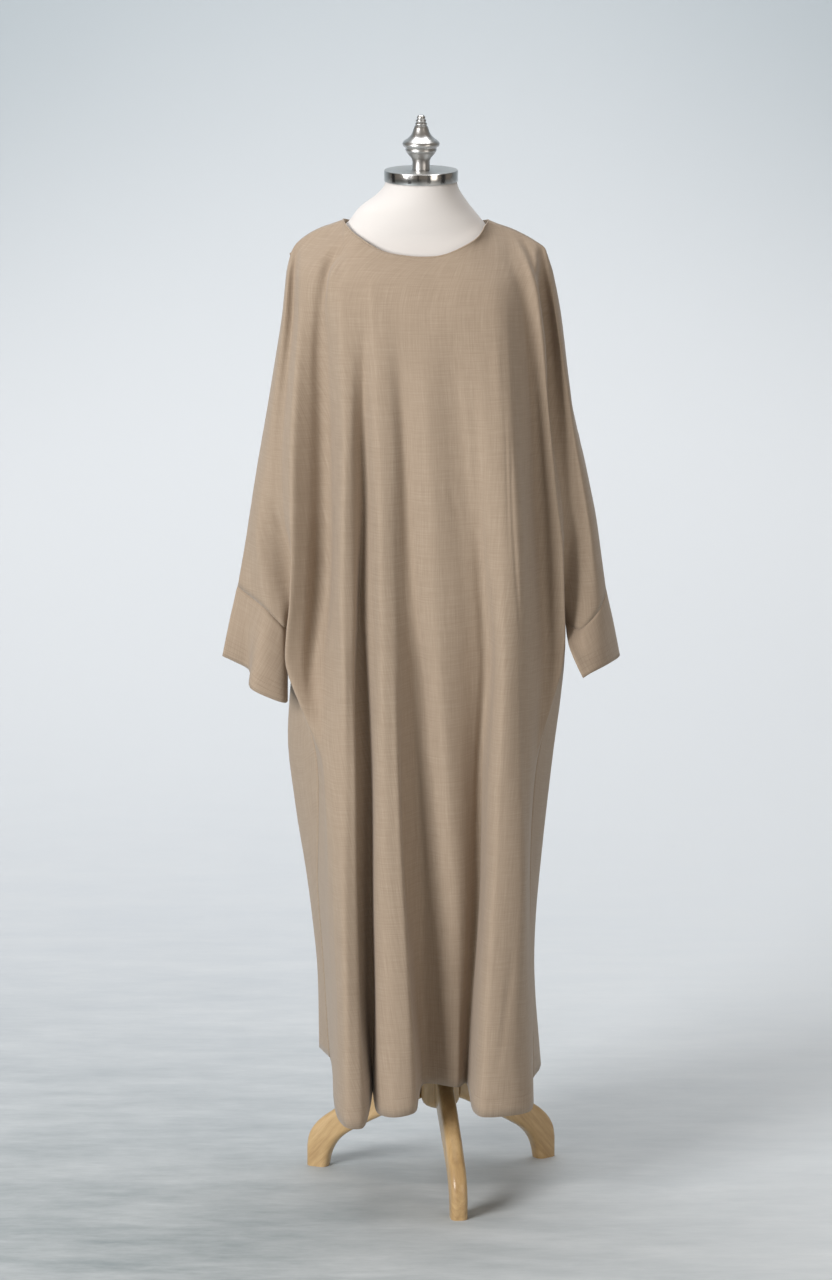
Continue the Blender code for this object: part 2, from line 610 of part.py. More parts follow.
FINIAL = (
    (0, 1693.2), (3.8, 1692.6), (6.0, 1691.0), (6.6, 1688.6), (6.2, 1686.4),
    (8.0, 1684.4), (7.6, 1681.8), (9.2, 1679.6), (8.8, 1677.0), (10.8, 1674.4),
    (13.4, 1666.0), (18.8, 1658.6), (26.0, 1653.4), (28.3, 1650.4), (28.2, 1646.8),
    (26.0, 1644.2), (23.4, 1642.6), (23.8, 1639.4), (21.2, 1634.6), (15.8, 1628.6),
    (13.5, 1623.6), (13.4, 1609.4), (0, 1609.4),
)
turned("finial", FINIAL, STEEL, sides=28)

STAND_AXIS = (0.0305, 0.020)         # where the post meets the hub
LEAN = math.radians(0.95)           # the post leans to the wearer's right


def lean(obj, foot):
    """Tilts a mesh about the level line through its foot, in its own points."""
    for v in obj.data.vertices:
        rise = v.co.z - foot
        v.co.x -= math.tan(LEAN) * rise


post = turned("post", ((0, 857.5), (14.0, 857.5), (15.0, 855.0), (15.0, 246.0), (14.0, 244.4), (0, 244.4)), BEECH, axis=STAND_AXIS, sides=20)
lean(post, 0.244)

HUB = ((0, 244.0), (17.0, 244.0), (19.0, 242.0), (22.0, 232.0), (27.5, 224.0), (30.0, 216.0), (30.0, 134.0), (27.0, 126.0), (19.0, 121.0), (0, 120.0))
turned("hub", HUB, BEECH, axis=STAND_AXIS, sides=28)

# A leg's outline in its own upright plane, as (distance from the hub's axis, height) in mm.
LEG_TOP = ((30.4, 186), (48, 180), (70, 168), (95, 154), (120, 138), (145, 122), (166, 107), (186, 92), (201, 80.5), (214, 67), (223, 51), (226.5, 32), (226.5, 0))
LEG_UNDER = ((192, 0), (188, 19), (181, 35), (171, 48), (158, 59), (143, 68.5), (120, 82), (95, 96), (70, 110), (48, 122), (30.4, 130))
LEG_THICK = 26.0
LEG_ROUND = 6.0


def leg(name, degrees):
    bm = bmesh.new()
    outline = list(LEG_TOP[:-1]) + [(226.5, -20), (192, -20)] + list(LEG_UNDER[1:])
    half = LEG_THICK / 2 * MM
    ring = [bm.verts.new((r * MM, -half, z * MM)) for r, z in outline]
    face = bm.faces.new(ring)
    moved = bmesh.ops.extrude_face_region(bm, geom=[face])["geom"]
    bmesh.ops.translate(bm, verts=[g for g in moved if isinstance(g, bmesh.types.BMVert)], vec=(0, 2 * half, 0))
    bmesh.ops.recalc_face_normals(bm, faces=bm.faces)
    long_edges = [
        e for e in bm.edges
        if abs(e.verts[0].co.y - e.verts[1].co.y) < 1e-6
        and not (abs(e.verts[0].co.x - 30.4 * MM) < 1e-6 and abs(e.verts[1].co.x - 30.4 * MM) < 1e-6)
        and e.verts[0].co.z + e.verts[1].co.z > -0.039
    ]
    bmesh.ops.bevel(bm, geom=long_edges, affect="EDGES", offset=LEG_ROUND * MM, segments=3, profile=0.5, material=-1)
    bmesh.ops.bisect_plane(
        bm, geom=bm.verts[:] + bm.edges[:] + bm.faces[:], plane_co=(0, 0, 0), plane_no=(0, 0, -1), clear_outer=True
    )
    rim = [e for e in bm.edges if e.is_boundary]
    bmesh.ops.contextual_create(bm, geom=rim)
    turn = math.radians(degrees)
    for v in bm.verts:
        x, y = v.co.x, v.co.y
        v.co.x = STAND_AXIS[0] + x * math.cos(turn) - y * math.sin(turn)
        v.co.y = STAND_AXIS[1] + x * math.sin(turn) + y * math.cos(turn)
    return from_bmesh(name, bm, BEECH)


leg("leg_front", -82.4)
leg("leg_right", 37.6)
leg("leg_left", 157.6)

# ---------------------------------------------------------------- the object's origin: under its box's middle

low, high = np.full(3, 9.0), np.full(3, -9.0)
for obj in bpy.data.objects:
    corners = np.array([v.co for v in obj.data.vertices])
    low, high = np.minimum(low, corners.min(axis=0)), np.maximum(high, corners.max(axis=0))
shift = Vector((-(low[0] + high[0]) / 2, -(low[1] + high[1]) / 2, -low[2]))
for obj in bpy.data.objects:
    for v in obj.data.vertices:
        v.co += shift
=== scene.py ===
"""Abaya cloak on a limbless dress form with a wooden tripod, in metres, +Z up, its front towards -Y."""

import json
import math

import bmesh
import bpy
import numpy as np
from mathutils import Matrix, Vector
from mathutils.bvhtree import BVHTree
from mathutils.kdtree import KDTree

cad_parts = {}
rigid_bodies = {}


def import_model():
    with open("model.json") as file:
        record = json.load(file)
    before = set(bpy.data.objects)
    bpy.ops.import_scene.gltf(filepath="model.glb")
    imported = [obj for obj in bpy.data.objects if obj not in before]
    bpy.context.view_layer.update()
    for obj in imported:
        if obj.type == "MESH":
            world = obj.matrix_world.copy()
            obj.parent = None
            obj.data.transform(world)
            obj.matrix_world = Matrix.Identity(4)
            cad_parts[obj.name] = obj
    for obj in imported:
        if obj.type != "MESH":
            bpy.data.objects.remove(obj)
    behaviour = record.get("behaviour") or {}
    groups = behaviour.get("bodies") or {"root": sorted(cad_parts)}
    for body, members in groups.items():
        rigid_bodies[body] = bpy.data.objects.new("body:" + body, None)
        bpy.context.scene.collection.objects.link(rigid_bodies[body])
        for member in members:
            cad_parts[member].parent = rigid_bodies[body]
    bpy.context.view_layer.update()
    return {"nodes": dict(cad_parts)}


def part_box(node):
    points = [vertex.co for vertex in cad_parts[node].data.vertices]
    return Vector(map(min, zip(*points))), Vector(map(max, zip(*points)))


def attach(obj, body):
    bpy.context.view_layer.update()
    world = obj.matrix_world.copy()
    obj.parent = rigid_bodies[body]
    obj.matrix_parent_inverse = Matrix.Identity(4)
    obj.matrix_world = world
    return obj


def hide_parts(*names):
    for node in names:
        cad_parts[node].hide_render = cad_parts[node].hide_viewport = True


for startup in list(bpy.data.objects):
    bpy.data.objects.remove(startup, do_unlink=True)
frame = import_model()


# ---------------------------------------------------------------- hub
# The turned block of pale beech that the post and the three legs are screwed and glued into.
# It narrows to a collar under the post and has a soft edge above the legs, under a clear satin varnish.


class Value:
    """A shader socket. Arithmetic on it adds Math nodes, and node() adds any other node."""

    def __init__(self, socket):
        self.socket, self.tree = socket, socket.id_data

    def node(self, kind, settings, sockets, output=0):
        made = self.tree.nodes.new("ShaderNode" + kind)
        for key, setting in settings.items():
            if key == "stops":
                stops = made.color_ramp.elements
                while len(stops) < len(setting):
                    stops.new(0.5)
                for stop, (place, colour) in zip(stops, setting):
                    stop.position, stop.color = place, colour
            else:
                setattr(made, key, setting)
        for key, value in sockets.items():
            if isinstance(value, Value):
                self.tree.links.new(value.socket, made.inputs[key])
            else:
                made.inputs[key].default_value = value
        return Value(made.outputs[output])

    def other(self, output):
        return Value(self.socket.node.outputs[output])

    def math(self, operation, *more):
        return self.node("Math", {"operation": operation}, dict(enumerate((self, *more))))

    def __add__(self, more):
        return self.math("ADD", more)

    def __sub__(self, less):
        return self.math("SUBTRACT", less)

    def __rsub__(self, whole):
        return self.node("Math", {"operation": "SUBTRACT"}, {0: whole, 1: self})

    def __mul__(self, times):
        return self.math("MULTIPLY", times)

    def __lt__(self, limit):
        return self.math("LESS_THAN", limit)

    def __gt__(self, limit):
        return self.math("GREATER_THAN", limit)

    def __abs__(self):
        return self.math("ABSOLUTE")

    __radd__, __rmul__ = __add__, __mul__

    def scaled(self, by):
        return self.node("VectorMath", {"operation": "MULTIPLY"}, {0: self, 1: by})

    def noise(self, by, detail=3.0, rough=0.5):
        """Noise from 0 to 1, about 0.5, at the given scale along each axis."""
        sockets = {"Vector": self.scaled(by), "Scale": 1.0, "Detail": detail, "Roughness": rough}
        return self.node("TexNoise", {}, sockets)

    def mixed(self, first, second):
        """A colour from first, where this value is 0, to second, where it is 1."""
        return self.node("Mix", {"data_type": "RGBA"}, {0: self, 6: first, 7: second}, 2)

    def ramp(self, *stops):
        """A colour that goes through the stops, each a place from 0 to 1 and its colour."""
        return self.node("ValToRGB", {"stops": stops}, {0: self})

    def rising(self, start, end, most=1.0, **how):
        """A value that rises from 0 to most as this one goes from start to end."""
        return self.node("MapRange", how, {0: self, 1: start, 2: end, 3: 0.0, 4: most})

    def eased(self, start, end):
        return self.rising(start, end, interpolation_type="SMOOTHSTEP")

    def bump(self, strength, distance):
        return self.node("Bump", {}, {"Height": self, "Strength": strength, "Distance": distance})


def new_look(name, coordinates="Object", **fixed):
    """A Principled material: the material, its shader and the coordinates that its patterns read."""
    look = bpy.data.materials.new(name)
    look.use_nodes = True
    shader = look.node_tree.nodes["Principled BSDF"]
    for key, value in fixed.items():
        shader.inputs[key.replace("_", " ")].default_value = value
    where = look.node_tree.nodes.new("ShaderNodeTexCoord").outputs[coordinates]
    return look, shader, Value(where)


def feed(shader, **values):
    for key, value in values.items():
        shader.id_data.links.new(value.socket, shader.inputs[key.replace("_", " ")])


def beech(name, fineness, turn=0.0, tilt=0.0):
    """Varnished beech, its grain this fine along each axis, once turned about Z and tilted about Y."""
    look, shader, where = new_look(name, Coat_Weight=0.45, Coat_Roughness=0.16, Specular_IOR_Level=0.45)
    for rotation in ((0, 0, -turn), (0, tilt, 0)):
        where = where.node("Mapping", {}, {"Vector": where, "Rotation": rotation})
    rings, grain, pores = (
        where.noise(tuple(times * f for f in fineness), detail, rough)
        for times, detail, rough in ((0.35, 2.0, 0.5), (2.4, 4.0, 0.6), (9.0, 2.0, 0.6))
    )
    colour = (rings * 0.6 + grain * 0.4).ramp(
        (0.36, (0.38, 0.240, 0.105, 1)), (0.5, (0.52, 0.353, 0.170, 1)), (0.64, (0.63, 0.450, 0.243, 1))
    )
    dark = (pores > 0.62) * 0.35
    feed(
        shader,
        Base_Color=dark.mixed(colour, (0.40, 0.25, 0.12, 1)),
        Roughness=0.36 + grain * 0.16,
        Normal=(grain * 0.5 + pores * 0.5).bump(0.12, 0.0006),
    )
    return look


def smooth_object(name, bm, look):
    """An object in the scene from a bmesh, shaded smooth."""
    mesh = bpy.data.meshes.new(name)
    bm.to_mesh(mesh)
    bm.free()
    made = bpy.data.objects.new(name, mesh)
    bpy.context.scene.collection.objects.link(made)
    mesh.materials.append(look)
    mesh.polygons.foreach_set("use_smooth", [True] * len(mesh.polygons))
    return made


def made_piece(name, bm, look, stands_for):
    """Turns a bmesh into a piece that rides on the object in the place of a node."""
    piece = smooth_object(name, bm, look)
    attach(piece, "root")
    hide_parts(stands_for)
    return piece


def axis_of(node):
    """Where a turned node's axis stands, (x, y)."""
    low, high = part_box(node)
    return (low.x + high.x) / 2, (low.y + high.y) / 2


def turned(profile, centre, steps):
    """A turned solid from (radius, height) pairs in mm, top to bottom."""
    bm = bmesh.new()
    line = [bm.verts.new((centre[0] + r / 1000, centre[1], z / 1000)) for r, z in profile]
    line += [bm.edges.new(pair) for pair in zip(line, line[1:])]
    middle = (*centre, 0)
    bmesh.ops.spin(
        bm, geom=line, cent=middle, axis=(0, 0, 1), angle=2 * math.pi, steps=steps, use_merge=True
    )
    bmesh.ops.remove_doubles(bm, verts=bm.verts, dist=1e-6)
    bmesh.ops.dissolve_degenerate(bm, edges=bm.edges, dist=1e-6)
    bmesh.ops.recalc_face_normals(bm, faces=bm.faces)
    return bm


HUB_AXIS = axis_of("hub")
HUB_PROFILE = (
    (0, 244.0), (17.0, 244.0), (19.0, 242.0), (20.2, 237.0), (22.5, 231.0), (27.0, 224.6), (29.4, 219.0),
    (30.0, 212.0), (30.0, 136.0), (29.2, 131.0), (27.0, 126.4), (23.5, 123.2), (19.0, 121.0), (0, 120.0),
)
hub_look = beech("beech_hub_varnished", (60, 60, 9))
hub_solid = turned(HUB_PROFILE, HUB_AXIS, 72)
made_piece("beech_hub", hub_solid, hub_look, stands_for="hub")

# ---------------------------------------------------------------- post
# A straight beech pole that runs up inside the cloak from the hub's collar to the form's base.
# It is a plain turned rod and leans very slightly; the grain runs up it.
frame["nodes"]["post"].data.materials.clear()
frame["nodes"]["post"].data.materials.append(beech("beech_post_varnished", (60, 60, 5)))

# ---------------------------------------------------------------- legs
# Three band-sawn beech legs, 26 mm thick, each an outward curve that comes down to a flat foot.
# Their long edges are routed round, and each root is dowelled to the hub.
# A leg's outline in its upright plane, as (distance from the hub's axis, height) in mm:
LEG_TOP = (
    (30.4, 186), (48, 180), (70, 168), (95, 154), (120, 138), (145, 122),
    (166, 107), (186, 92), (201, 80.5), (214, 67), (223, 51), (226.5, 32),
)
LEG_UNDER = (
    (192, 0), (188, 19), (181, 35), (171, 48), (158, 59), (143, 68.5),
    (120, 82), (95, 96), (70, 110), (48, 122), (30.4, 130),
)
LEG_ROOT, FOOT_OUTSIDE, FOOT_INSIDE = 0.0304, 0.2265, 0.192
SAWN_OFF = 0.02                    # what is cut from under the foot, to make it level
LEG_THICK, LEG_ROUND = 0.026, 0.0095
LEG_GRAIN_TILT = math.radians(-48)
LEG_TURNS = {"front": -82.4, "right": 37.6, "left": 157.6}


def line_slopes(keys):
    """The span lengths that the curve runs by, and its slope at each key, a mean of the spans beside it."""
    step = np.maximum(np.linalg.norm(np.diff(keys, axis=0), axis=-1), 1e-6)[..., None] ** 0.5
    slope = np.diff(keys, axis=0) / step
    inner = (slope[:-1] * step[1:] + slope[1:] * step[:-1]) / (step[:-1] + step[1:])
    return step, np.concatenate([slope[:1], inner, slope[-1:]])


def smooth_line(keys, counts):
    """Points on the curve through the keys, along axis 0: counts[i] in span i, then the last key."""
    keys = np.asarray(keys, float)
    step, slope = line_slopes(keys)
    rows = []
    for i, count in enumerate(counts):
        h = step[i]
        for t in np.arange(count) / count:
            rows.append(
                (2 * t**3 - 3 * t**2 + 1) * keys[i]
                + (t**3 - 2 * t**2 + t) * h * slope[i]
                + (3 * t**2 - 2 * t**3) * keys[i + 1]
                + (t**3 - t**2) * h * slope[i + 1]
            )
    rows.append(keys[-1])
    return np.array(rows)


def moved_along(bm, made, by):
    """Moves the points that an operator has just made."""
    bmesh.ops.translate(bm, verts=[g for g in made if isinstance(g, bmesh.types.BMVert)], vec=by)


def sawn_leg():
    """One leg, along +X from the axis that it stands round."""
    top, under = (
        smooth_line(np.array(line) / 1000, [3] * (len(line) - 1)) for line in (LEG_TOP, LEG_UNDER)
    )
    outline = [*top, (FOOT_OUTSIDE, -SAWN_OFF), (FOOT_INSIDE, -SAWN_OFF), *under]
    bm = bmesh.new()
    side = bm.faces.new([bm.verts.new((r, -LEG_THICK / 2, z)) for r, z in outline])
    moved_along(bm, bmesh.ops.extrude_face_region(bm, geom=[side])["geom"], (0, LEG_THICK, 0))
    bmesh.ops.recalc_face_normals(bm, faces=bm.faces)
    long_edges = [
        e for e in bm.edges
        if abs(e.verts[0].co.y - e.verts[1].co.y) < 1e-6
        and not all(abs(v.co.x - LEG_ROOT) < 1e-5 for v in e.verts)
        and not all(v.co.z < 1e-3 - SAWN_OFF for v in e.verts)
    ]
    bmesh.ops.bevel(
        bm, geom=long_edges, affect="EDGES", offset=LEG_ROUND, segments=5, profile=0.5, material=-1
    )
    everything = bm.verts[:] + bm.edges[:] + bm.faces[:]
    bmesh.ops.bisect_plane(bm, geom=everything, plane_co=(0, 0, 0), plane_no=(0, 0, -1), clear_outer=True)
    bmesh.ops.contextual_create(bm, geom=[e for e in bm.edges if e.is_boundary])
    return bm


for which, degrees in LEG_TURNS.items():
    turn, bm = math.radians(degrees), sawn_leg()
    bmesh.ops.rotate(bm, verts=bm.verts, cent=(0, 0, 0), matrix=Matrix.Rotation(turn, 3, "Z"))
    bmesh.ops.translate(bm, verts=bm.verts, vec=(*HUB_AXIS, 0))
    bmesh.ops.recalc_face_normals(bm, faces=bm.faces)
    name = "beech_leg_" + which
    leg_look = beech(name + "_varnished", (9, 40, 75), turn, LEG_GRAIN_TILT)
    leg = made_piece(name, bm, leg_look, stands_for="leg_" + which)
    leg.data.set_sharp_from_angle(angle=math.radians(38))

# ---------------------------------------------------------------- dress form
# A limbless bust form that stands on the post: a light shell under a tight, plain white jersey cover.
# The cover is drawn smooth over the neck and shoulders, with a fine knit that only shows close up.
form_cover, shader, where = new_look("white_jersey_cover", Sheen_Weight=0.12, Specular_IOR_Level=0.3)
knit = where.noise((900, 900, 500), 2.0, 0.6)
cloudy = where.noise((5, 5, 7), 2.0)
feed(
    shader,
    Base_Color=cloudy.mixed((0.70, 0.675, 0.66, 1), (0.745, 0.725, 0.715, 1)),
    Roughness=0.72 + knit * 0.15,
    Normal=(knit * 0.6 + where.noise((60, 60, 60), 3.0) * 0.4).bump(0.10, 0.0005),
)
# The solid's triangles are joined into quads and rounded, and its rims are kept fairly tight.
FLAT_WITHIN, RIM_FROM = 0.01, 1.0  # radians between two faces
bm = bmesh.new()
bm.from_mesh(frame["nodes"]["bust_form"].data)
bmesh.ops.remove_doubles(bm, verts=bm.verts, dist=1e-5)
bmesh.ops.join_triangles(bm, faces=bm.faces, angle_face_threshold=0.7, angle_shape_threshold=1.2)
spare_edges = [
    e for e in bm.edges
    if abs(e.verts[0].co.z - e.verts[1].co.z) < 1e-4
    and len(e.link_faces) == 2
    and e.calc_face_angle(0) < FLAT_WITHIN
]
bmesh.ops.dissolve_limit(bm, angle_limit=FLAT_WITHIN, verts=bm.verts, edges=spare_edges)
crease = bm.edges.layers.float.new("crease_edge")
for e in bm.edges:
    if len(e.link_faces) == 2 and e.calc_face_angle(0) > RIM_FROM:
        e[crease] = 0.6
form = made_piece("jersey_form", bm, form_cover, stands_for="bust_form")
rounding = form.modifiers.new("rounded", "SUBSURF")
rounding.levels = rounding.render_levels = 2

# ---------------------------------------------------------------- neck cap
# A spun steel disc that closes the form's neck, held down by the finial's screw.
# Its rim is mirror-polished and its top is brushed in fine straight lines.
polished, shader, where = new_look("polished_steel_rim", Metallic=1.0, Base_Color=(0.62, 0.62, 0.61, 1))
marks = where.noise((400, 400, 14), 3.0)
feed(shader, Roughness=0.10 + marks * 0.10, Normal=marks.bump(0.04, 0.0004))
brushed, shader, where = new_look("brushed_steel_top", Metallic=1.0)
lines = where.noise((14, 1500, 30), 3.0, 0.6)
feed(
    shader,
    Base_Color=lines.mixed((0.44, 0.44, 0.43, 1), (0.60, 0.60, 0.59, 1)),
    Roughness=0.32 + lines * 0.14,
    Normal=lines.bump(0.12, 0.0003),
)
CAP_AXIS = axis_of("neck_cap")
CAP_PROFILE = (
    (0, 1609.0), (54.4, 1609.0), (55.6, 1608.7), (56.4, 1607.9), (56.6, 1606.8),
    (56.6, 1593.2), (56.3, 1592.1), (55.4, 1591.5), (0, 1591.5),
)
cap_solid = turned(CAP_PROFILE, CAP_AXIS, 128)
cap = made_piece("steel_neck_cap", cap_solid, polished, stands_for="neck_cap")
cap.data.materials.append(brushed)
for face in cap.data.polygons:
    if face.normal.z > 0.97:
        face.material_index = 1
cap.data.set_sharp_from_angle(angle=math.radians(30))

# ---------------------------------------------------------------- finial
# A turned steel knob: a stem, a wide waisted collar and a tapering tip with fine ribs for the fingers.
# It screws down on the cap and clamps it to the form.
FINIAL_PROFILE = (
    (0, 1693.2), (2.6, 1693.1), (4.8, 1692.2), (6.0, 1690.6), (6.5, 1688.8), (6.0, 1687.2),
    (6.6, 1686.4), (7.8, 1685.2), (8.1, 1683.8), (7.3, 1682.4), (7.8, 1681.4), (9.0, 1680.3),
    (9.3, 1679.0), (8.5, 1677.7), (9.1, 1676.6), (10.3, 1675.4), (10.9, 1673.6), (11.6, 1671.2),
    (13.4, 1666.0), (16.0, 1661.6), (19.4, 1658.2), (23.2, 1655.4), (26.4, 1653.0), (28.1, 1650.8),
    (28.4, 1648.8), (28.0, 1646.4), (26.6, 1644.6), (24.2, 1643.2), (23.2, 1642.4), (23.6, 1641.4),
    (24.0, 1639.6), (23.3, 1637.2), (21.4, 1634.4), (18.6, 1631.2), (16.0, 1628.4), (14.3, 1625.6),
    (13.5, 1622.4), (13.4, 1618.0), (13.4, 1609.4), (0, 1609.4),
)
knob, shader, where = new_look("turned_steel", Metallic=1.0, Base_Color=(0.66, 0.66, 0.655, 1))
turning = where.noise((30, 30, 1400), 2.0)
feed(shader, Roughness=0.24 + turning * 0.16, Normal=turning.bump(0.10, 0.0003))
finial_solid = turned(FINIAL_PROFILE, CAP_AXIS, 96)
finial = made_piece("steel_finial", finial_solid, knob, stands_for="finial")
finial.data.set_sharp_from_angle(angle=math.radians(50))

# ---------------------------------------------------------------- cloak, laid out
# The cloak is two broad panels of linen with the sleeves cut in one with them, sewn at the shoulders and
# down the sides, and hung from the form. Each fold is a line down it: its x, then its y, in mm at each
# height, then the height of the hem there. "across" is the number of spans between it and the next.
HEIGHTS = (1450, 1380, 1220, 1100, 950, 850, 700, 500, 350)
SPANS = (4, 2, 2, 2, 3, 2, 2, 2, 2, 3)   # mesh rows from the top edge down to the hem
ARM_SPANS = (2, 2, 2)                    # and from the underarm to the band's seam, its middle and its edge

FRONT_FOLDS = (
    # name, across, x at each height and the hem,
    #  y at each height and the hem, height of the hem
    ("left_edge", 2, (-185, -186, -196, -198, -202, -207, -153, -150, -143, -138),
     (-45, -62, -80, -86, -88, -84, -90, -80, -60, -45), 176),
    ("left_dip", 2, (-153, -153, -152, -152, -154, -160, -150, -142, -136, -133),
     (-68, -68, -58, -56, -58, -68, -112, -120, -125, -150), 160),
    ("left_front", 2, (-122, -123, -117, -119, -121, -118, -117, -119, -116, -114),
     (-83, -104, -122, -125, -125, -130, -140, -162, -182, -208), 150),
    ("left_turn", 2, (-108, -105, -104, -103, -102, -104, -101, -99, -96, -89),
     (-87, -108, -120, -118, -118, -120, -134, -151, -170, -204), 149),
    ("deep_dip", 2, (-91, -87, -89, -88, -95, -90, -80, -78, -76, -75),
     (-90, -110, -101, -92, -86, -90, -97, -104, -112, -122), 185),
    ("centre_turn", 2, (-81, -77, -74, -71, -71, -72, -71, -71, -70, -68),
     (-92, -114, -124, -122, -118, -120, -130, -140, -152, -170), 164),
    ("centre_left", 2, (-73, -71, -64, -61, -61, -60, -58, -57, -52, -43),
     (-94, -117, -132, -134, -135, -140, -146, -158, -172, -192), 162),
    ("centre_fall", 2, (-50, -55, -44, -43, -40, -37, -35, -27, -19, -9),
     (-96, -119, -130, -130, -130, -134, -142, -155, -168, -182), 167),
    ("middle_dip", 3, (-29, -38, -23, -23, -21, -14, -7, 0, 3, 5),
     (-97, -119, -122, -118, -112, -101, -90, -83, -80, -80), 184),
    ("middle", 3, (5, 5, 11, 18, 23, 29, 40, 54, 58, 57),
     (-97, -122, -134, -132, -128, -124, -118, -112, -102, -100), 184),
    ("right_dip", 2, (36, 44, 62, 76, 99, 104, 95, 90, 81, 70),
     (-96, -121, -124, -119, -106, -92, -82, -75, -73, -76), 184),
    ("right_turn", 2, (68, 76, 86, 95, 111, 113, 104, 98, 89, 78),
     (-93, -119, -132, -130, -128, -128, -130, -136, -146, -160), 170),
    ("right_front", 3, (108, 112, 118, 123, 125, 126, 119, 111, 102, 93),
     (-84, -113, -136, -140, -142, -148, -154, -168, -184, -202), 166),
    ("right_fall", 2, (130, 132, 140, 149, 153, 155, 155, 156, 151, 147),
     (-72, -102, -127, -131, -132, -133, -138, -149, -166, -188), 165),
    ("right_second_dip", 2, (158, 165, 175, 178, 189, 193, 176, 166, 169, 170),
     (-53, -65, -62, -57, -54, -58, -86, -96, -110, -160), 164),
    ("right_edge", 2, (176, 182, 199, 212, 220, 219, 178, 169, 173, 175),
     (-44, -63, -71, -68, -66, -58, -74, -72, -72, -80), 168),
)
BACK_FOLDS = (
    ("right_corner", 3, (170, 174, 186, 196, 212, 223, 208, 187, 177, 189),
     (58, 72, 82, 86, 75, 25, 32, 52, 72, 108), 169),
    ("right_back_dip", 4, (142, 146, 152, 158, 172, 196, 182, 166, 160, 166),
     (70, 88, 98, 100, 98, 92, 86, 84, 88, 112), 176),
    ("right_back", 3, (100, 104, 112, 118, 128, 140, 142, 138, 134, 138),
     (78, 98, 116, 122, 130, 134, 140, 146, 154, 172), 166),
    ("right_mid_dip", 3, (70, 74, 78, 82, 90, 96, 98, 98, 96, 98),
     (80, 100, 114, 116, 118, 116, 114, 114, 116, 128), 178),
    ("right_mid", 3, (42, 44, 48, 50, 54, 58, 60, 60, 58, 58),
     (82, 103, 122, 130, 140, 146, 156, 168, 178, 196), 164),
    ("back_dip", 3, (8, 10, 12, 14, 16, 18, 18, 16, 14, 12),
     (83, 104, 120, 124, 126, 124, 124, 128, 130, 142), 176),
    ("left_mid", 3, (-28, -28, -26, -26, -26, -26, -28, -32, -36, -40),
     (82, 103, 122, 132, 142, 148, 158, 170, 180, 200), 163),
    ("left_mid_dip", 3, (-66, -68, -70, -72, -76, -78, -80, -82, -84, -86),
     (80, 100, 112, 114, 114, 112, 112, 114, 118, 130), 178),
    ("left_back", 2, (-112, -114, -116, -120, -124, -128, -130, -128, -124, -122),
     (77, 96, 114, 120, 128, 132, 138, 146, 154, 172), 167),
    ("left_back_dip", 2, (-146, -150, -156, -160, -166, -172, -168, -150, -142, -140),
     (68, 84, 94, 96, 96, 96, 96, 98, 104, 124), 180),
    ("left_corner", 2, (-172, -176, -186, -190, -194, -198, -208, -181, -164, -161),
     (56, 68, 76, 80, 72, 30, 40, 60, 80, 118), 189),
)
# The side seams, from the underarm point down: (x, y, z) at each height from 950 down, and the hem.
LEFT_UNDERARM, RIGHT_UNDERARM = (-191, -34, 950), (215, -22, 950)
LEFT_SIDE_SEAM = (
    LEFT_UNDERARM, (-199, -15, 850), (-161, -60, 700), (-161, -20, 500), (-153, 20, 350), (-144, 60, 187)
)
RIGHT_SIDE_SEAM = (
    RIGHT_UNDERARM, (219, -24, 850), (181, -50, 700), (170, -40, 500), (173, -30, 350), (177, 0, 171)
)

# The sleeves above the underarm: (x, y, z) at heights 1450, 1380, 1220, 1100 and 950. Their rows slant
# down to the underarm. "inner" is the valley between sleeve and body.
SLEEVE_LINES = {
    "left_outer": ((-206, 3, 1452), (-213.5, 4, 1380), (-236, 5, 1240), (-250, 5, 1160), (-266, 5, 1065)),
    "left_front": (
        (-203, -23, 1450), (-209, -32, 1380), (-228, -34, 1240), (-240, -36, 1140), (-251, -38, 1030),
    ),
    "left_inner_front": (
        (-194, -20, 1450), (-197, -29, 1380), (-212, -45, 1220), (-212, -54, 1100), LEFT_UNDERARM,
    ),
    "left_back": (
        (-203, 18, 1450), (-209, 32, 1380), (-230, 38, 1240), (-243, 40, 1150), (-255, 40, 1045),
    ),
    "left_inner_back": (
        (-190, 45, 1450), (-192, 55, 1380), (-200, 58, 1220), (-200, 44, 1100), LEFT_UNDERARM,
    ),
    "right_outer": ((203, 3, 1450), (215.5, 4, 1380), (233, 8, 1240), (251, 12, 1165), (271, 18, 1065)),
    "right_front": (
        (197, -14, 1448), (207, -28, 1380), (231, -36, 1235), (248, -40, 1140), (263, -41, 1030),
    ),
    "right_inner_front": (
        (187, -15, 1450), (194, -21, 1380), (208, -36, 1220), (221, -42, 1100), RIGHT_UNDERARM,
    ),
    "right_back": ((197, 20, 1450), (208, 36, 1380), (230, 48, 1240), (247, 52, 1155), (262, 52, 1045)),
    "right_inner_back": (
        (186, 45, 1450), (190, 60, 1380), (203, 70, 1220), (212, 66, 1100), RIGHT_UNDERARM,
    ),
}
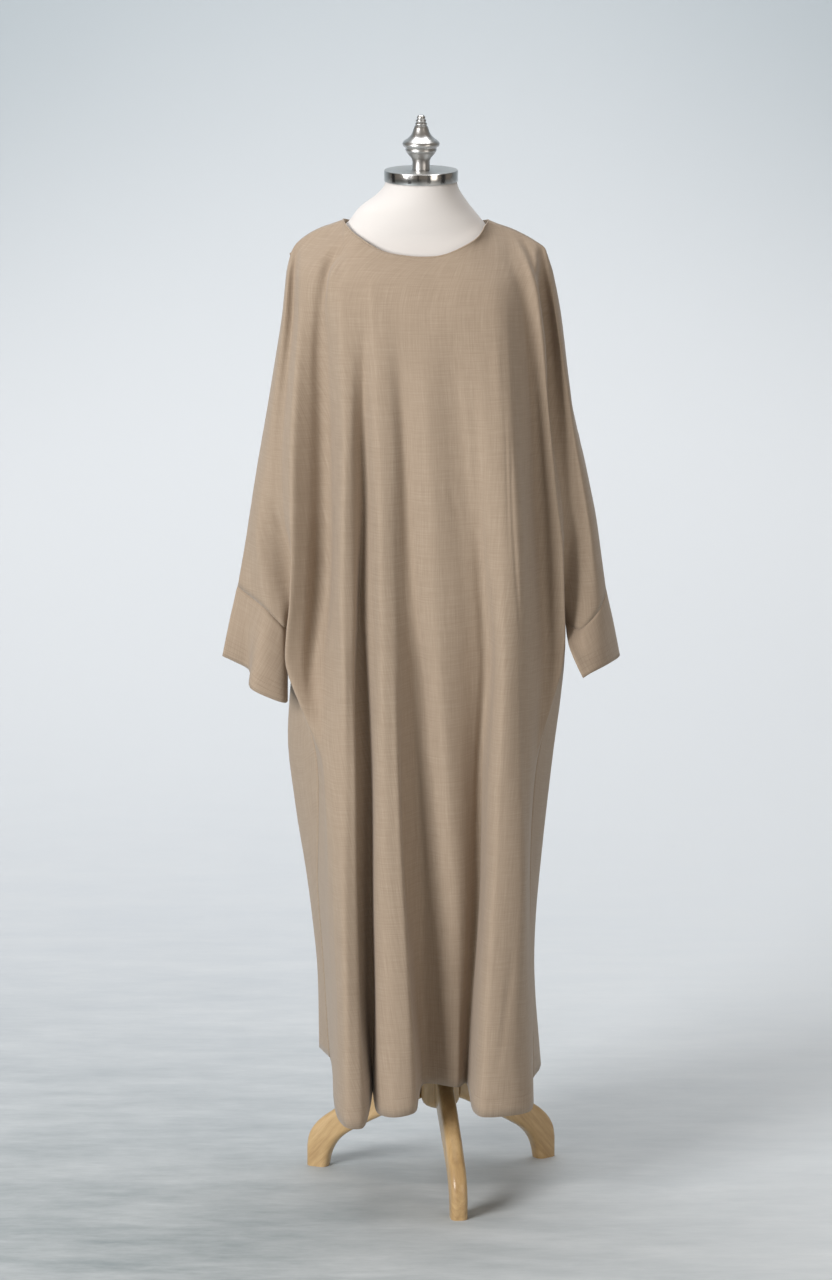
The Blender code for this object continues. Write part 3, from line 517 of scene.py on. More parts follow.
# The sleeve end as closed rings, outer edge, front, underarm, back: (x, y, z) at the band's seam,
# half way down the band, and at its edge. "across" as above.
LEFT_BAND = (
    # name, across, seam, middle, edge
    ("outer", 2, (-284.5, 5, 960), (-296.5, 5, 906), (-308.5, 5, 849)),
    ("step", 1, (-262, -14, 945), (-267, -9, 886), (-267, -3, 829)),
    ("front", 2, (-240, -35, 931), (-250, -46, 872), (-263.5, -56, 811)),
    ("front_inner", 1, (-211, -38, 903), (-210, -44, 845), (-209.5, -49, 786)),
    ("underarm", 1, (-205.5, 3, 895), (-206.5, -3, 840), (-207, -9, 789)),
    ("back_inner", 2, (-214, 37, 908), (-216, 35, 856), (-219, 30, 802)),
    ("back", 3, (-247, 38, 943), (-252, 36, 890), (-259, 33, 835)),
)
RIGHT_BAND = (
    ("outer", 3, (286, 24, 957), (298, 27, 902), (309, 30, 846)),
    ("front", 2, (274, -37, 928), (278, -47, 885), (283, -57, 846)),
    ("front_inner", 1, (244, -51, 903), (250, -71, 867), (260, -80, 839)),
    ("underarm", 1, (223, -18, 908), (230, -74, 873), (249, -84, 833)),
    ("back_inner", 2, (232, 14, 915), (244, -10, 880), (262, -30, 843)),
    ("back", 3, (262, 42, 942), (274, 38, 893), (287, 30, 845)),
)

# The top edge: shoulder seams from tip to neck, and the two halves of the neckline.
LEFT_SHOULDER = (
    (-200.5, 2, 1480), (-193, 3, 1493), (-177, 4, 1507.5), (-150, 4, 1522.5), (-119, 2, 1530.5),
)
RIGHT_SHOULDER = (
    (194, 2, 1478), (189.7, 2, 1488.5), (175.2, 3, 1499), (143.8, 4, 1516), (104, 2, 1530.5),
)
FRONT_NECKLINE = (
    (-119, 2, 1530.5), (-114.5, -22, 1525.5), (-105, -38, 1517.5), (-88.2, -52, 1507), (-57.8, -65, 1492),
    (-26, -71.5, 1486.5), (0.8, -73, 1484.8), (32, -71, 1487), (62.3, -61.5, 1497.6), (86.7, -46, 1510.5),
    (97.6, -26, 1524.5), (104, 2, 1530.5),
)
BACK_NECKLINE = (
    (104, 2, 1530.5), (100, 28, 1526), (80, 51, 1522), (42, 66, 1520), (0, 70, 1519),
    (-48, 67, 1520), (-92, 53, 1522), (-114, 28, 1526), (-119, 2, 1530.5),
)
# Share of the shoulder seam at each fold of the front, from the tip: outer, front, inner, then the body's.
LEFT_SHARES = (0.0, 0.10, 0.20, 0.32, 0.64, 1.0)
RIGHT_SHARES = (0.0, 0.08, 0.16, 0.26, 0.42, 0.66, 1.0)

FINE_DOWN, FINE_ACROSS = 4, 5      # a finished cloth has this many mesh steps to one of the laid-out ones
OFF_FORM = 0.0032                  # least distance from the cloth's outside to the form
CENTRE = np.array((-0.25, 5.47, 0)) / 1000  # where the layout's zero is in the frame, in metres


def smooth_ring(keys, counts):
    """Points on the closed curve through the keys: counts[i] in span i."""
    keys = np.asarray(keys, float)
    wide = np.concatenate([keys[-2:], keys, keys[:3]])
    return smooth_line(wide, [1, 1] + list(counts) + [1, 1])[2 : 2 + sum(counts)]


def at_shares(line, shares):
    """Points on a smooth line at the given shares of its length."""
    dense = smooth_line(np.array(line) / 1000, [12] * (len(line) - 1))
    run = np.concatenate([[0], np.cumsum(np.linalg.norm(np.diff(dense, axis=0), axis=1))])
    return np.stack([np.interp(np.array(shares) * run[-1], run, dense[:, k]) for k in range(3)], axis=1)


def fill_shares(shares, counts):
    """The shares, with evenly spaced ones between them: counts[i] steps in span i."""
    out = []
    for a, b, count in zip(shares, shares[1:], counts):
        out += [a + (b - a) * k / count for k in range(count)]
    return out + [shares[-1]]


front_counts = [3, 3, 2] + [row[1] for row in FRONT_FOLDS] + [3, 3]
back_counts = [3, 3, 2] + [row[1] for row in BACK_FOLDS] + [3, 3]
FRONT_WIDE, RING = sum(front_counts), sum(front_counts) + sum(back_counts)
neck_left, neck_right = sum(front_counts[:5]), FRONT_WIDE - sum(front_counts[-6:])
back_neck_right, back_neck_left = FRONT_WIDE + sum(back_counts[:5]), RING - sum(back_counts[-5:])
ARM = 6                            # columns from a sleeve's outer fold to the underarm
under_left, under_right = (ARM, RING - ARM), (FRONT_WIDE - ARM, FRONT_WIDE + ARM)


def top_ring():
    """The shoulder seams and the neckline."""
    ring = np.zeros((RING, 3))
    left = at_shares(LEFT_SHOULDER, fill_shares(LEFT_SHARES, front_counts[:5]))
    right = at_shares(RIGHT_SHOULDER, fill_shares(RIGHT_SHARES, front_counts[:-7:-1]))
    ring[: neck_left + 1], ring[neck_right : FRONT_WIDE + 1] = left, right[::-1]
    ring[FRONT_WIDE : back_neck_right + 1], ring[back_neck_left:] = right, left[::-1][:-1]
    for line, first, last in (
        (FRONT_NECKLINE, neck_left, neck_right), (BACK_NECKLINE, back_neck_right, back_neck_left),
    ):
        ring[first : last + 1] = at_shares(line, np.linspace(0, 1, last - first + 1))
    return ring


def at_level(folds, level):
    """Where the folds are on one of the ten levels, in mm."""
    return [(xs[level], ys[level], (HEIGHTS + (hem,))[level]) for _, _, xs, ys, hem in folds]


def whole_ring(level):
    """The cloak's closed section above the underarms, sleeves and body in one."""
    line = {name: points[level] for name, points in SLEEVE_LINES.items()}
    keys = [line["left_" + part] for part in ("outer", "front", "inner_front")]
    keys += at_level(FRONT_FOLDS, level)
    keys += [line["right_" + part] for part in ("inner_front", "front", "outer", "back", "inner_back")]
    keys += at_level(BACK_FOLDS, level) + [line["left_inner_back"], line["left_back"]]
    return smooth_ring(np.array(keys) / 1000, front_counts + back_counts)


def body_ring(level):
    """The skirt's closed section, from the left side seam round by the front."""
    keys = [LEFT_SIDE_SEAM[level - 4]] + at_level(FRONT_FOLDS, level)
    keys += [RIGHT_SIDE_SEAM[level - 4]] + at_level(BACK_FOLDS, level)
    return smooth_ring(np.array(keys) / 1000, front_counts[2:-2] + back_counts[2:-2])


def band_rings(band):
    """A band's closed sections at its seam, half way down and at its edge."""
    counts = [row[1] for row in band]
    return [smooth_ring(np.array([row[2 + k] for row in band]) / 1000, counts) for k in range(3)]


def tube_columns():
    """The whole ring's columns that go on down as the skirt, as the left sleeve and as the right one."""
    return (
        [*range(ARM, FRONT_WIDE - ARM + 1), *range(FRONT_WIDE + ARM + 1, RING - ARM)],
        [*range(ARM + 1), *range(RING - ARM + 1, RING)],
        [*range(FRONT_WIDE, FRONT_WIDE - ARM - 1, -1), *range(FRONT_WIDE + ARM - 1, FRONT_WIDE, -1)],
    )


skirt_columns, left_columns, right_columns = tube_columns()
upper = [top_ring()] + [whole_ring(level) for level in range(5)]
lower = [body_ring(level) for level in range(5, 10)]
left_band, right_band = band_rings(LEFT_BAND), band_rings(RIGHT_BAND)


def whole_row(left, right, skirt):
    """One row right round the cloak, from a row of each sleeve and of the skirt."""
    row = np.zeros((RING, 3))
    row[left_columns], row[right_columns], row[skirt_columns] = left, right, skirt
    row[under_left[1]], row[under_right[1]] = row[under_left[0]], row[under_right[0]]
    return row


def laid_below(columns, rings, spans):
    """The rows of a tube that hangs from the lowest whole ring, carried on from the ring above that."""
    return smooth_line(np.array([upper[4][columns], upper[5][columns]] + rings), [1] + list(spans))[1:]


below = whole_row(left_band[0], right_band[0], lower[0])
cape = smooth_line(np.array(upper + [below]), list(SPANS[:5]) + [1])[: sum(SPANS[:5]) + 1]
skirt = laid_below(skirt_columns, lower, SPANS[5:])
left_arm = laid_below(left_columns, left_band, ARM_SPANS)
right_arm = laid_below(right_columns, right_band, ARM_SPANS)

form_mesh = frame["nodes"]["bust_form"].data
form_tree = BVHTree.FromPolygons(
    [v.co for v in form_mesh.vertices], [tuple(face.vertices) for face in form_mesh.polygons]
)


def eased_off_form(rows, tied=()):
    """Moves laid-out cloth outwards until its points, edges and quads all stand off the form."""
    rows = rows + CENTRE
    high, wide = rows.shape[:2]
    for _ in range(40):
        moves, hits = np.zeros_like(rows), np.zeros((high, wide))
        for r in range(high):
            for c in range(wide):
                for dr, dc in ((0, 0), (0, 1), (1, 0), (1, 1)):
                    if r + dr >= high:
                        continue
                    corners = {(r, c), (r + dr, c), (r, (c + dc) % wide), (r + dr, (c + dc) % wide)}
                    point = Vector(sum(rows[k] for k in corners) / len(corners))
                    near, normal, _, _ = form_tree.find_nearest(point)
                    gap = (point - near).length
                    if (point - near).dot(normal) < 0:
                        gap = -gap
                    if gap < OFF_FORM:
                        for k in corners:
                            moves[k] += np.array(normal) * (OFF_FORM - gap)
                            hits[k] += 1
        if not hits.any():
            break
        rows += moves / np.maximum(hits, 1)[..., None]
        for row, a, b in tied:
            rows[row, a] = rows[row, b] = (rows[row, a] + rows[row, b]) / 2
    return rows


tied = [(0, k, RING - k) for k in range(1, neck_left + 1)]
tied += [(0, FRONT_WIDE - k, FRONT_WIDE + k) for k in range(1, FRONT_WIDE - neck_right + 1)]
tied += [(-1, *under_left), (-1, *under_right)]
cape = eased_off_form(cape, tied)
skirt[1:] = eased_off_form(skirt[1:])
left_arm, right_arm = left_arm + CENTRE, right_arm + CENTRE
skirt[0], left_arm[0], right_arm[0] = (cape[-1][columns] for columns in tube_columns())


def finer_down(rows):
    """More rows, from the first to the last."""
    return smooth_line(rows, [FINE_DOWN] * (len(rows) - 1))


def finer_across(rows):
    """More columns, round a closed ring."""
    return np.swapaxes(smooth_ring(np.swapaxes(rows, 0, 1), [FINE_ACROSS] * rows.shape[1]), 0, 1)


above, beyond = cape[-2], whole_row(left_arm[1], right_arm[1], skirt[1])
cape = finer_across(finer_down(np.concatenate([cape, beyond[None]]))[:-FINE_DOWN])


def hung_below(rows, columns):
    """A tube that goes on down from the cape, with its bend carried through from the row above."""
    return finer_across(finer_down(np.concatenate([above[columns][None], rows]))[FINE_DOWN:])


skirt = hung_below(skirt, skirt_columns)
left_arm, right_arm = hung_below(left_arm, left_columns), hung_below(right_arm, right_columns)
shoulder_left, shoulder_right = neck_left * FINE_ACROSS, (FRONT_WIDE - neck_right) * FINE_ACROSS
RING, FRONT_WIDE, ARM = RING * FINE_ACROSS, FRONT_WIDE * FINE_ACROSS, ARM * FINE_ACROSS
for k in range(1, shoulder_left + 1):
    cape[0, k] = cape[0, -k]
for k in range(1, shoulder_right + 1):
    cape[0, FRONT_WIDE - k] = cape[0, FRONT_WIDE + k]
cape[-1, RING - ARM], cape[-1, FRONT_WIDE + ARM] = cape[-1, ARM], cape[-1, FRONT_WIDE - ARM]
skirt[0], left_arm[0], right_arm[0] = (cape[-1][columns] for columns in tube_columns())

# ---------------------------------------------------------------- cloak, sewn
# The cloth is a plain-weave linen, heavy enough to hang in long soft folds. The panels are joined along
# the shoulders and sides by plain seams pressed open, which sink a little into the cloth.


def run_down(rows, start):
    """How far each point is down the cloth, in metres, from start along its first row."""
    steps = np.linalg.norm(np.diff(rows, axis=0), axis=2)
    return np.concatenate([np.zeros((1, rows.shape[1])), np.cumsum(steps, axis=0)]) + start


def run_across(rows, middle):
    """How far each point is across the cloth from its middle column."""
    steps = np.linalg.norm(np.diff(rows, axis=1), axis=2)
    run = np.concatenate([np.zeros((rows.shape[0], 1)), np.cumsum(steps, axis=1)], axis=1)
    return run - run[:, middle : middle + 1]


def closed(rows):
    """The rows of a ring, with the first column again at the end."""
    return np.concatenate([rows, rows[:, :1]], axis=1)


cape_down = run_down(closed(cape), 0.0)
cape_down -= cape_down[SPANS[0] * FINE_DOWN]
SLEEVE_ROWS = 2 * FINE_DOWN
skirt_front = FRONT_WIDE - 2 * ARM
centre_front, centre_back = FRONT_WIDE // 2, (RING - FRONT_WIDE) // 2
PIECES = ("front_cloth", "back_cloth", "band_cloth_left", "band_cloth_right")
NO_HEM = 9.0                       # metres from a hem, for cloth that has none

cloth = bmesh.new()
piece_of = cloth.faces.layers.int.new("piece")
weave = cloth.loops.layers.uv.new("weave")
hem_run = cloth.verts.layers.float.new("hem")


def weave_in(face, layer, place):
    """Puts each corner of a face at its point's place in the weave."""
    for loop in face.loops:
        loop[layer].uv = place[loop.vert]


def lay(piece, rows, across, down, hem=NO_HEM, turn_over=False):
    """Lays one patch of cloth: its points, its place in the weave and its distance from the hem."""
    high, wide = rows.shape[:2]
    table = np.dstack([rows, across, down, np.broadcast_to(hem, (high, wide))])
    if not turn_over:
        table = table[::-1]
    verts = bmesh.ops.create_grid(cloth, x_segments=wide - 1, y_segments=high - 1, size=1)["verts"]
    place = {}
    for vert, (x, y, z, u, v, h) in zip(verts, table.reshape(-1, 6)):
        vert.co = x, y, z
        vert[hem_run] = h
        place[vert] = (u, -v)
    for face in {f for vert in verts for f in vert.link_faces}:
        face[piece_of] = PIECES.index(piece)
        weave_in(face, weave, place)


def to_hem(rows):
    """How far each point is above the last row."""
    down = run_down(rows, 0.0)
    return down[-1:] - down


front, back = cape[:, : FRONT_WIDE + 1], closed(cape)[:, FRONT_WIDE:]
front_across, back_across = run_across(front, centre_front), run_across(back, centre_back)
lay("front_cloth", front, front_across, cape_down[:, : FRONT_WIDE + 1])
lay("back_cloth", back, back_across, cape_down[:, FRONT_WIDE:])
front, back = skirt[:, : skirt_front + 1], closed(skirt)[:, skirt_front:]
low_down = cape_down[-1]
for name, rows, middle, first in (
    ("front_cloth", front, centre_front, ARM), ("back_cloth", back, centre_back, FRONT_WIDE + ARM),
):
    down = run_down(rows, low_down[first : first + rows.shape[1]])
    lay(name, rows, run_across(rows, middle - ARM), down, to_hem(rows))
for side, arm, tip, flipped in (("left", left_arm, 0, False), ("right", right_arm, FRONT_WIDE, True)):
    sleeve, band = closed(arm)[: SLEEVE_ROWS + 1], closed(arm)[SLEEVE_ROWS:]
    for name, part in (("front_cloth", slice(0, ARM + 1)), ("back_cloth", slice(ARM, 2 * ARM + 1))):
        rows = sleeve[:, part]
        if name == "front_cloth":
            columns = [tip - k if flipped else tip + k for k in range(ARM + 1)]
            anchor, base = ARM, front_across[-1][columns[ARM]]
        else:
            columns = [tip + ARM - k if flipped else RING - ARM + k for k in range(ARM + 1)]
            anchor, base = 0, back_across[-1][columns[0] - FRONT_WIDE]
        across = run_across(rows, anchor) * (-1 if flipped else 1) + base
        lay(name, rows, across, run_down(rows, low_down[columns]), turn_over=flipped)
    across, down = run_across(band, 0), run_down(band, 0.0)
    lay("band_cloth_" + side, band, across, down, to_hem(band), turn_over=flipped)
bmesh.ops.remove_doubles(cloth, verts=cloth.verts, dist=2e-5)
bmesh.ops.dissolve_degenerate(cloth, edges=cloth.edges, dist=1e-6)
cloth.verts.ensure_lookup_table()
cloth.normal_update()

seam_verts = [v for v in cloth.verts if len({f[piece_of] for f in v.link_faces}) > 1]
seam_tree = KDTree(len(seam_verts))
for k, v in enumerate(seam_verts):
    seam_tree.insert(v.co, k)
seam_tree.balance()
seam_run = cloth.verts.layers.float.new("seam")
for v in cloth.verts:
    v[seam_run] = seam_tree.find(v.co)[2]

# Small creases on top of the folds, each along a line of (x, z) in mm as the front or back shows it:
# its side, half width and depth in mm (a ridge is above 0), and its line.
CREASES = (
    ("front", 4.0, -1.6, ((40, 1139), (48, 1122), (57, 1104))),
    ("front", 5.0, 1.2, ((46, 1146), (56, 1124), (64, 1108))),
    ("front", 5.0, -1.5, ((-10, 252), (-19, 240), (-28, 231), (-30, 205))),
    ("front", 5.0, -1.6, ((142, 414), (133, 350), (124, 280), (114, 222))),
    ("front", 2.2, 0.7, ((-135, 800), (-135, 650), (-134, 440), (-128, 330), (-127, 240))),
    ("front", 4.5, -1.6, ((150, 950), (156, 820), (160, 715), (164, 578))),
    ("front", 6.0, -5.0, ((-128, 1487), (-138, 1480), (-147, 1463), (-152, 1436), (-155, 1412))),
    ("front", 5.0, -7.0, (
        (181, 1478), (187, 1430), (196, 1349), (202, 1254), (209, 1159), (216, 1064),
    )),
    ("front", 9.0, -6.0, ((190, 1450), (202, 1349), (208, 1254), (215, 1159), (223, 1064))),
    ("front", 11.0, -6.5, ((226, 1250), (240, 1140), (253, 1040), (262, 960))),
    ("front", 9.0, -8.0, ((-156, 1080), (-162, 950), (-169, 850), (-171, 780))),
    ("front", 8.0, -4.0, ((-140, 1270), (-143, 1150), (-144, 1050), (-147, 960), (-150, 890))),
    ("front", 8.0, -11.0, ((-92, 900), (-91, 800), (-89, 700), (-87, 500), (-84, 350), (-80, 230))),
    ("front", 7.0, -6.0, ((-22, 780), (-20, 632), (-14, 506), (-4, 379), (-2, 268))),
    ("front", 10.0, -4.0, ((44, 700), (54, 500), (58, 350), (57, 250))),
    ("front", 6.5, -7.0, (
        (-112, 1491), (-126, 1488), (-138, 1480), (-147, 1463),
        (-152, 1436), (-155, 1402), (-157, 1362), (-159, 1300),
    )),
    ("front", 6.0, 2.5, ((-124, 1474), (-133, 1462), (-139, 1440), (-142, 1402), (-144, 1362))),
    ("front", 4.5, 2.6, (
        (-104, 960), (-104, 830), (-102, 700), (-100, 500), (-97, 350), (-92, 190),
    )),
    ("front", 5.0, -3.0, ((-95, 960), (-95, 830), (-92, 700), (-90, 500), (-88, 350), (-84, 200))),
    ("front", 4.5, 2.4, ((-42, 860), (-38, 760), (-35, 650), (-28, 500), (-19, 350), (-11, 210))),
    ("front", 6.0, -4.0, ((-30, 840), (-27, 740), (-24, 650), (-17, 500), (-9, 350), (-2, 230))),
    ("front", 4.0, 2.0, ((98, 980), (104, 860), (98, 700), (93, 500), (85, 350), (74, 220))),
    ("front", 5.0, -3.0, ((92, 980), (97, 860), (89, 700), (84, 500), (76, 350), (66, 230))),
    ("front", 11.0, -6.0, (
        (-140, 1440), (-147, 1385), (-150, 1330), (-150, 1230),
        (-151, 1090), (-152, 970), (-157, 860), (-156, 760),
    )),
    ("front", 5.5, -3.0, ((-232, 1080), (-220, 1069), (-210, 1052), (-204, 1020), (-202, 980))),
    ("front", 8.0, -5.0, (
        (136, 1480), (148, 1450), (160, 1400), (168, 1340), (174, 1270),
        (181, 1180), (187, 1090), (193, 960), (195, 860),
    )),
    ("front", 5.0, -3.0, ((150, 1506), (163, 1487), (174, 1460), (183, 1433), (186, 1405))),
    ("front", 5.0, 2.2, ((142, 1504), (154, 1484), (165, 1457), (175, 1430), (179, 1402))),
    ("front", 8.0, -5.0, ((80, 1300), (86, 1180), (88, 1090), (92, 980), (98, 880))),
    ("front", 9.0, -5.5, (
        (-34, 1330), (-27, 1220), (-20, 1090), (-13, 980), (-6, 880), (0, 800), (3, 740),
    )),
    ("front", 5.0, 2.0, (
        (150, 1500), (166, 1462), (179, 1400), (190, 1340), (201, 1260), (209, 1180),
    )),
    ("front", 2.5, -1.4, ((137, 1240), (139, 1100), (150, 950), (155, 900))),
    ("front", 2.5, -1.0, ((128, 1260), (131, 1150), (134, 1040))),
    ("front", 7.0, 1.5, ((113, 1360), (116, 1330), (118, 1260))),
    ("back", 5.0, -1.6, ((-60, 1180), (-48, 1120), (-40, 1060))),
    ("back", 5.0, -1.5, ((86, 1080), (74, 1010), (70, 930))),
    ("back", 4.5, -1.5, ((-150, 820), (-140, 700), (-138, 560))),
    ("back", 5.0, -1.6, ((30, 420), (38, 330), (34, 240))),
    ("back", 10.0, -1.2, ((96, 1430), (120, 1370), (140, 1280))),
    ("back", 2.2, 0.7, ((14, 900), (15, 600), (12, 260))),
)


def crease_push(points, half_width, depth, line):
    """How far out each point moves for one crease, which fades towards its ends."""
    line = np.array(line, float)
    dense = smooth_line(line, [8] * (len(line) - 1))
    across, share = np.full(len(points), 1e9), np.zeros(len(points))
    for k in range(len(dense) - 1):
        a, way = dense[k], dense[k + 1] - dense[k]
        t = np.clip(((points - a) @ way) / max(way @ way, 1e-9), 0, 1)
        gap = np.linalg.norm(points - a - t[:, None] * way, axis=1)
        nearer = gap < across
        across[nearer], share[nearer] = gap[nearer], ((k + t) / (len(dense) - 1))[nearer]
    fade = np.clip(np.sin(math.pi * np.clip(share, 0.02, 0.98)), 0, 1) ** 0.6
    return depth * fade * np.exp(-((across / half_width) ** 2))


points = np.array([v.co for v in cloth.verts])
normals = np.array([v.normal for v in cloth.verts])
flat = (points - CENTRE)[:, [0, 2]] * 1000
push = np.zeros(len(points))
for side, half_width, depth, line in CREASES:
    facing = normals[:, 1] < 0.2 if side == "front" else normals[:, 1] > -0.2
    push += facing * crease_push(flat, half_width, depth, line)
# The cloth's own unevenness, in mm: long, faint waves that differ from fold to fold.
x, y, z = (points * 1000).T
push += 0.55 * np.sin(x / 23 + z / 160 + 1.3 * np.sin(z / 210)) * np.sin(z / 95 + x / 70 + y / 50)
push += 0.35 * np.sin(x / 11 - z / 120 + 2.0) * np.sin(z / 61 + y / 31)
# A seam sinks between the raised edges of its pressed allowances, and the right one shows less.
seam = np.array([v[seam_run] for v in cloth.verts]) * 1000
SEAM_DEPTH, SEAM_RISE, RIGHT_SHARE = 0.75, 0.25, 0.45
sink = SEAM_DEPTH * np.exp(-((seam / 2.6) ** 2)) - SEAM_RISE * np.exp(-(((seam - 6) / 3.0) ** 2))
push -= np.where(x > 0, RIGHT_SHARE, 1.0) * sink
points += normals * push[:, None] / 1000
LEAST_GAP, NEAR_FORM = 0.0024, 0.03
for v, p in zip(cloth.verts, map(Vector, points)):
    near, normal, _, _ = form_tree.find_nearest(p)
    gap = (p - near).dot(normal)
    v.co = p + normal * max(0.0, LEAST_GAP - gap) if gap < NEAR_FORM else p


THREAD_PITCH = 0.0012              # one thread over and one under, in metres
STITCH_LONG, STITCH_SEWN = 1 / 300, 0.72   # one stitch and its gap, and the stitch's share of that
HALF_STITCH = 0.00045


def linen(name, stitch_rows=()):
    """Plain-weave linen, with slubs both ways and topstitching at these distances from its edge."""
    look, shader, weave_at = new_look(
        name, "UV", Sheen_Weight=0.22, Sheen_Roughness=0.5, Specular_IOR_Level=0.2
    )
    warp = weave_at.noise((780, 26, 1), 2.0, 0.55)
    weft = weave_at.noise((24, 780, 1), 2.0, 0.55)
    slub_down = weave_at.noise((420, 9, 1), 1.0)
    slub_across = weave_at.noise((9, 420, 1), 1.0)
    u = weave_at.node("SeparateXYZ", {}, {0: weave_at})
    v = u.other(1)
    waves = round(2 * math.pi / THREAD_PITCH)
    over = (u * waves).math("SINE") * (v * waves).math("SINE")
    worn = weave_at.noise((7, 3, 1), 3.0)
    shade = warp * 0.36 + weft * 0.32 + slub_down * 0.18 + slub_across * 0.14
    thick = shade.ramp(
        (0.30, (0.282, 0.216, 0.158, 1)), (0.5, (0.368, 0.290, 0.218, 1)), (0.70, (0.462, 0.376, 0.292, 1))
    )
    colour = (worn * 0.5).mixed(thick, (0.352, 0.273, 0.208, 1))
    height = shade * 0.8 + over * 0.05
    if stitch_rows:
        edge = weave_at.node("Attribute", {"attribute_name": "hem"}, {}, 2)
        thread = abs(edge - stitch_rows[0]) < HALF_STITCH
        for row in stitch_rows[1:]:
            thread = thread.math("MAXIMUM", abs(edge - row) < HALF_STITCH)
        # Painted shade: each stitch is sunk into the cloth and painted darker, for the shade in its groove.
        shaded_stitch_groove = thread * ((u * (1 / STITCH_LONG)).math("FRACT") < STITCH_SEWN)
        colour = (shaded_stitch_groove * 0.38).mixed(colour, (0.22, 0.165, 0.118, 1))
        height = height - shaded_stitch_groove * 0.35
    feed(shader, Base_Color=colour, Roughness=0.82 + warp * 0.12, Normal=height.bump(0.55, 0.0006))
    return look


def cut_out(name):
    """One piece of the sewn cloth on its own."""
    bm = cloth.copy()
    layer = bm.faces.layers.int["piece"]
    bmesh.ops.delete(bm, geom=[f for f in bm.faces if f[layer] != PIECES.index(name)], context="FACES")
    return bm


def clothed(name, node, look, wall):
    """A piece of the cloth, given a wall inwards from the outside that was laid out."""
    piece = made_piece(name, cut_out(name), look, stands_for=node)
    thick = piece.modifiers.new("cloth", "SOLIDIFY")
    thick.thickness, thick.offset = wall, -1.0
    return piece


PANEL_WALL, BAND_WALL = 0.0012, 0.0018

# ---------------------------------------------------------------- front panel
# The front, cut in one with the front halves of the sleeves, from a doubled length of linen.
# Its hem is turned up twice and stitched by machine 28 mm above the edge.
body_linen = linen("taupe_linen_body", stitch_rows=(0.028,))
front_cloth = clothed("front_cloth", "front_panel", body_linen, PANEL_WALL)

# ---------------------------------------------------------------- back panel
# The back, cut like the front but higher at the neck, and sewn to it at the shoulders and sides.
back_cloth = clothed("back_cloth", "back_panel", body_linen, PANEL_WALL)

# ---------------------------------------------------------------- sleeve bands
# A straight band of doubled linen closes each sleeve. It is seamed round the sleeve's end, folded back
# inside at the cuff and held by rows of topstitching.
band_linen = linen("taupe_linen_band", stitch_rows=(0.004, 0.012, 0.020, 0.028))
band_left = clothed("band_cloth_left", "cuff_left", band_linen, BAND_WALL)
band_right = clothed("band_cloth_right", "cuff_right", band_linen, BAND_WALL)

# ---------------------------------------------------------------- neck binding
# A narrow bias strip of the same linen, folded round the raw edge of the neckline and stitched down flat.
BINDING_HIGH, BINDING_THICK, BINDING_SIDES = 0.0030, 0.0020, 10
OVER_EDGE, INSIDE_EDGE = 0.0012, 0.0006   # how far the strip reaches below and inside the cloth's edge
DIP, DIP_WITHIN = 0.0024, 0.004    # it lies lower at the shoulder seams, where the neckline is highest
BIAS = 0.7071                      # a bias strip's threads run at 45 degrees to it
TURN_STEP = 0.0009                 # cloth used by one step round the strip


def neck_row(row):
    """One row of the cape, as far as it goes round the neck opening."""
    front = cape[row, shoulder_left : FRONT_WIDE - shoulder_right]
    return np.concatenate([front, cape[row, FRONT_WIDE + shoulder_right : RING - shoulder_left]])


def unit(ways):
    return ways / np.linalg.norm(ways, axis=1)[:, None]


neck = neck_row(0)
along = unit(np.roll(neck, -1, axis=0) - np.roll(neck, 1, axis=0))
up = neck - neck_row(1)
up = unit(up - along * (up * along).sum(axis=1)[:, None])
out = np.cross(along, up)
out *= np.sign((out * (neck - neck.mean(axis=0))).sum(axis=1))[:, None]
corner = np.exp(-(((neck[:, 2] - neck[:, 2].max()) / DIP_WITHIN) ** 2))[:, None]
middle = neck + up * (BINDING_HIGH / 2 - OVER_EDGE) - out * INSIDE_EDGE - np.array((0, 0, DIP)) * corner
binding = bmesh.new()
strip = bmesh.ops.create_grid(binding, x_segments=BINDING_SIDES, y_segments=len(neck), size=1)["verts"]
binding_weave = binding.loops.layers.uv.new("weave")
stations = np.linalg.norm(np.diff(np.concatenate([middle, middle[:1]]), axis=0), axis=1)
lengthwise = np.concatenate([[0], np.cumsum(stations)])
place = {}
for k, vert in enumerate(strip):
    station, turn = divmod(k, BINDING_SIDES + 1)
    angle, s = 2 * math.pi * turn / BINDING_SIDES, station % len(neck)
    raised = up[s] * BINDING_HIGH / 2 * math.cos(angle)
    vert.co = Vector(middle[s] + raised + out[s] * BINDING_THICK / 2 * math.sin(angle))
    run = lengthwise[station] * BIAS
    place[vert] = (run + turn * TURN_STEP, run - turn * TURN_STEP)
for face in binding.faces:
    weave_in(face, binding_weave, place)
bmesh.ops.remove_doubles(binding, verts=binding.verts, dist=1e-6)
bmesh.ops.recalc_face_normals(binding, faces=binding.faces)
bias_linen = linen("taupe_linen_bias")
neck_strip = made_piece(
    "neck_binding_cloth", binding, bias_linen, stands_for="neck_binding"
)

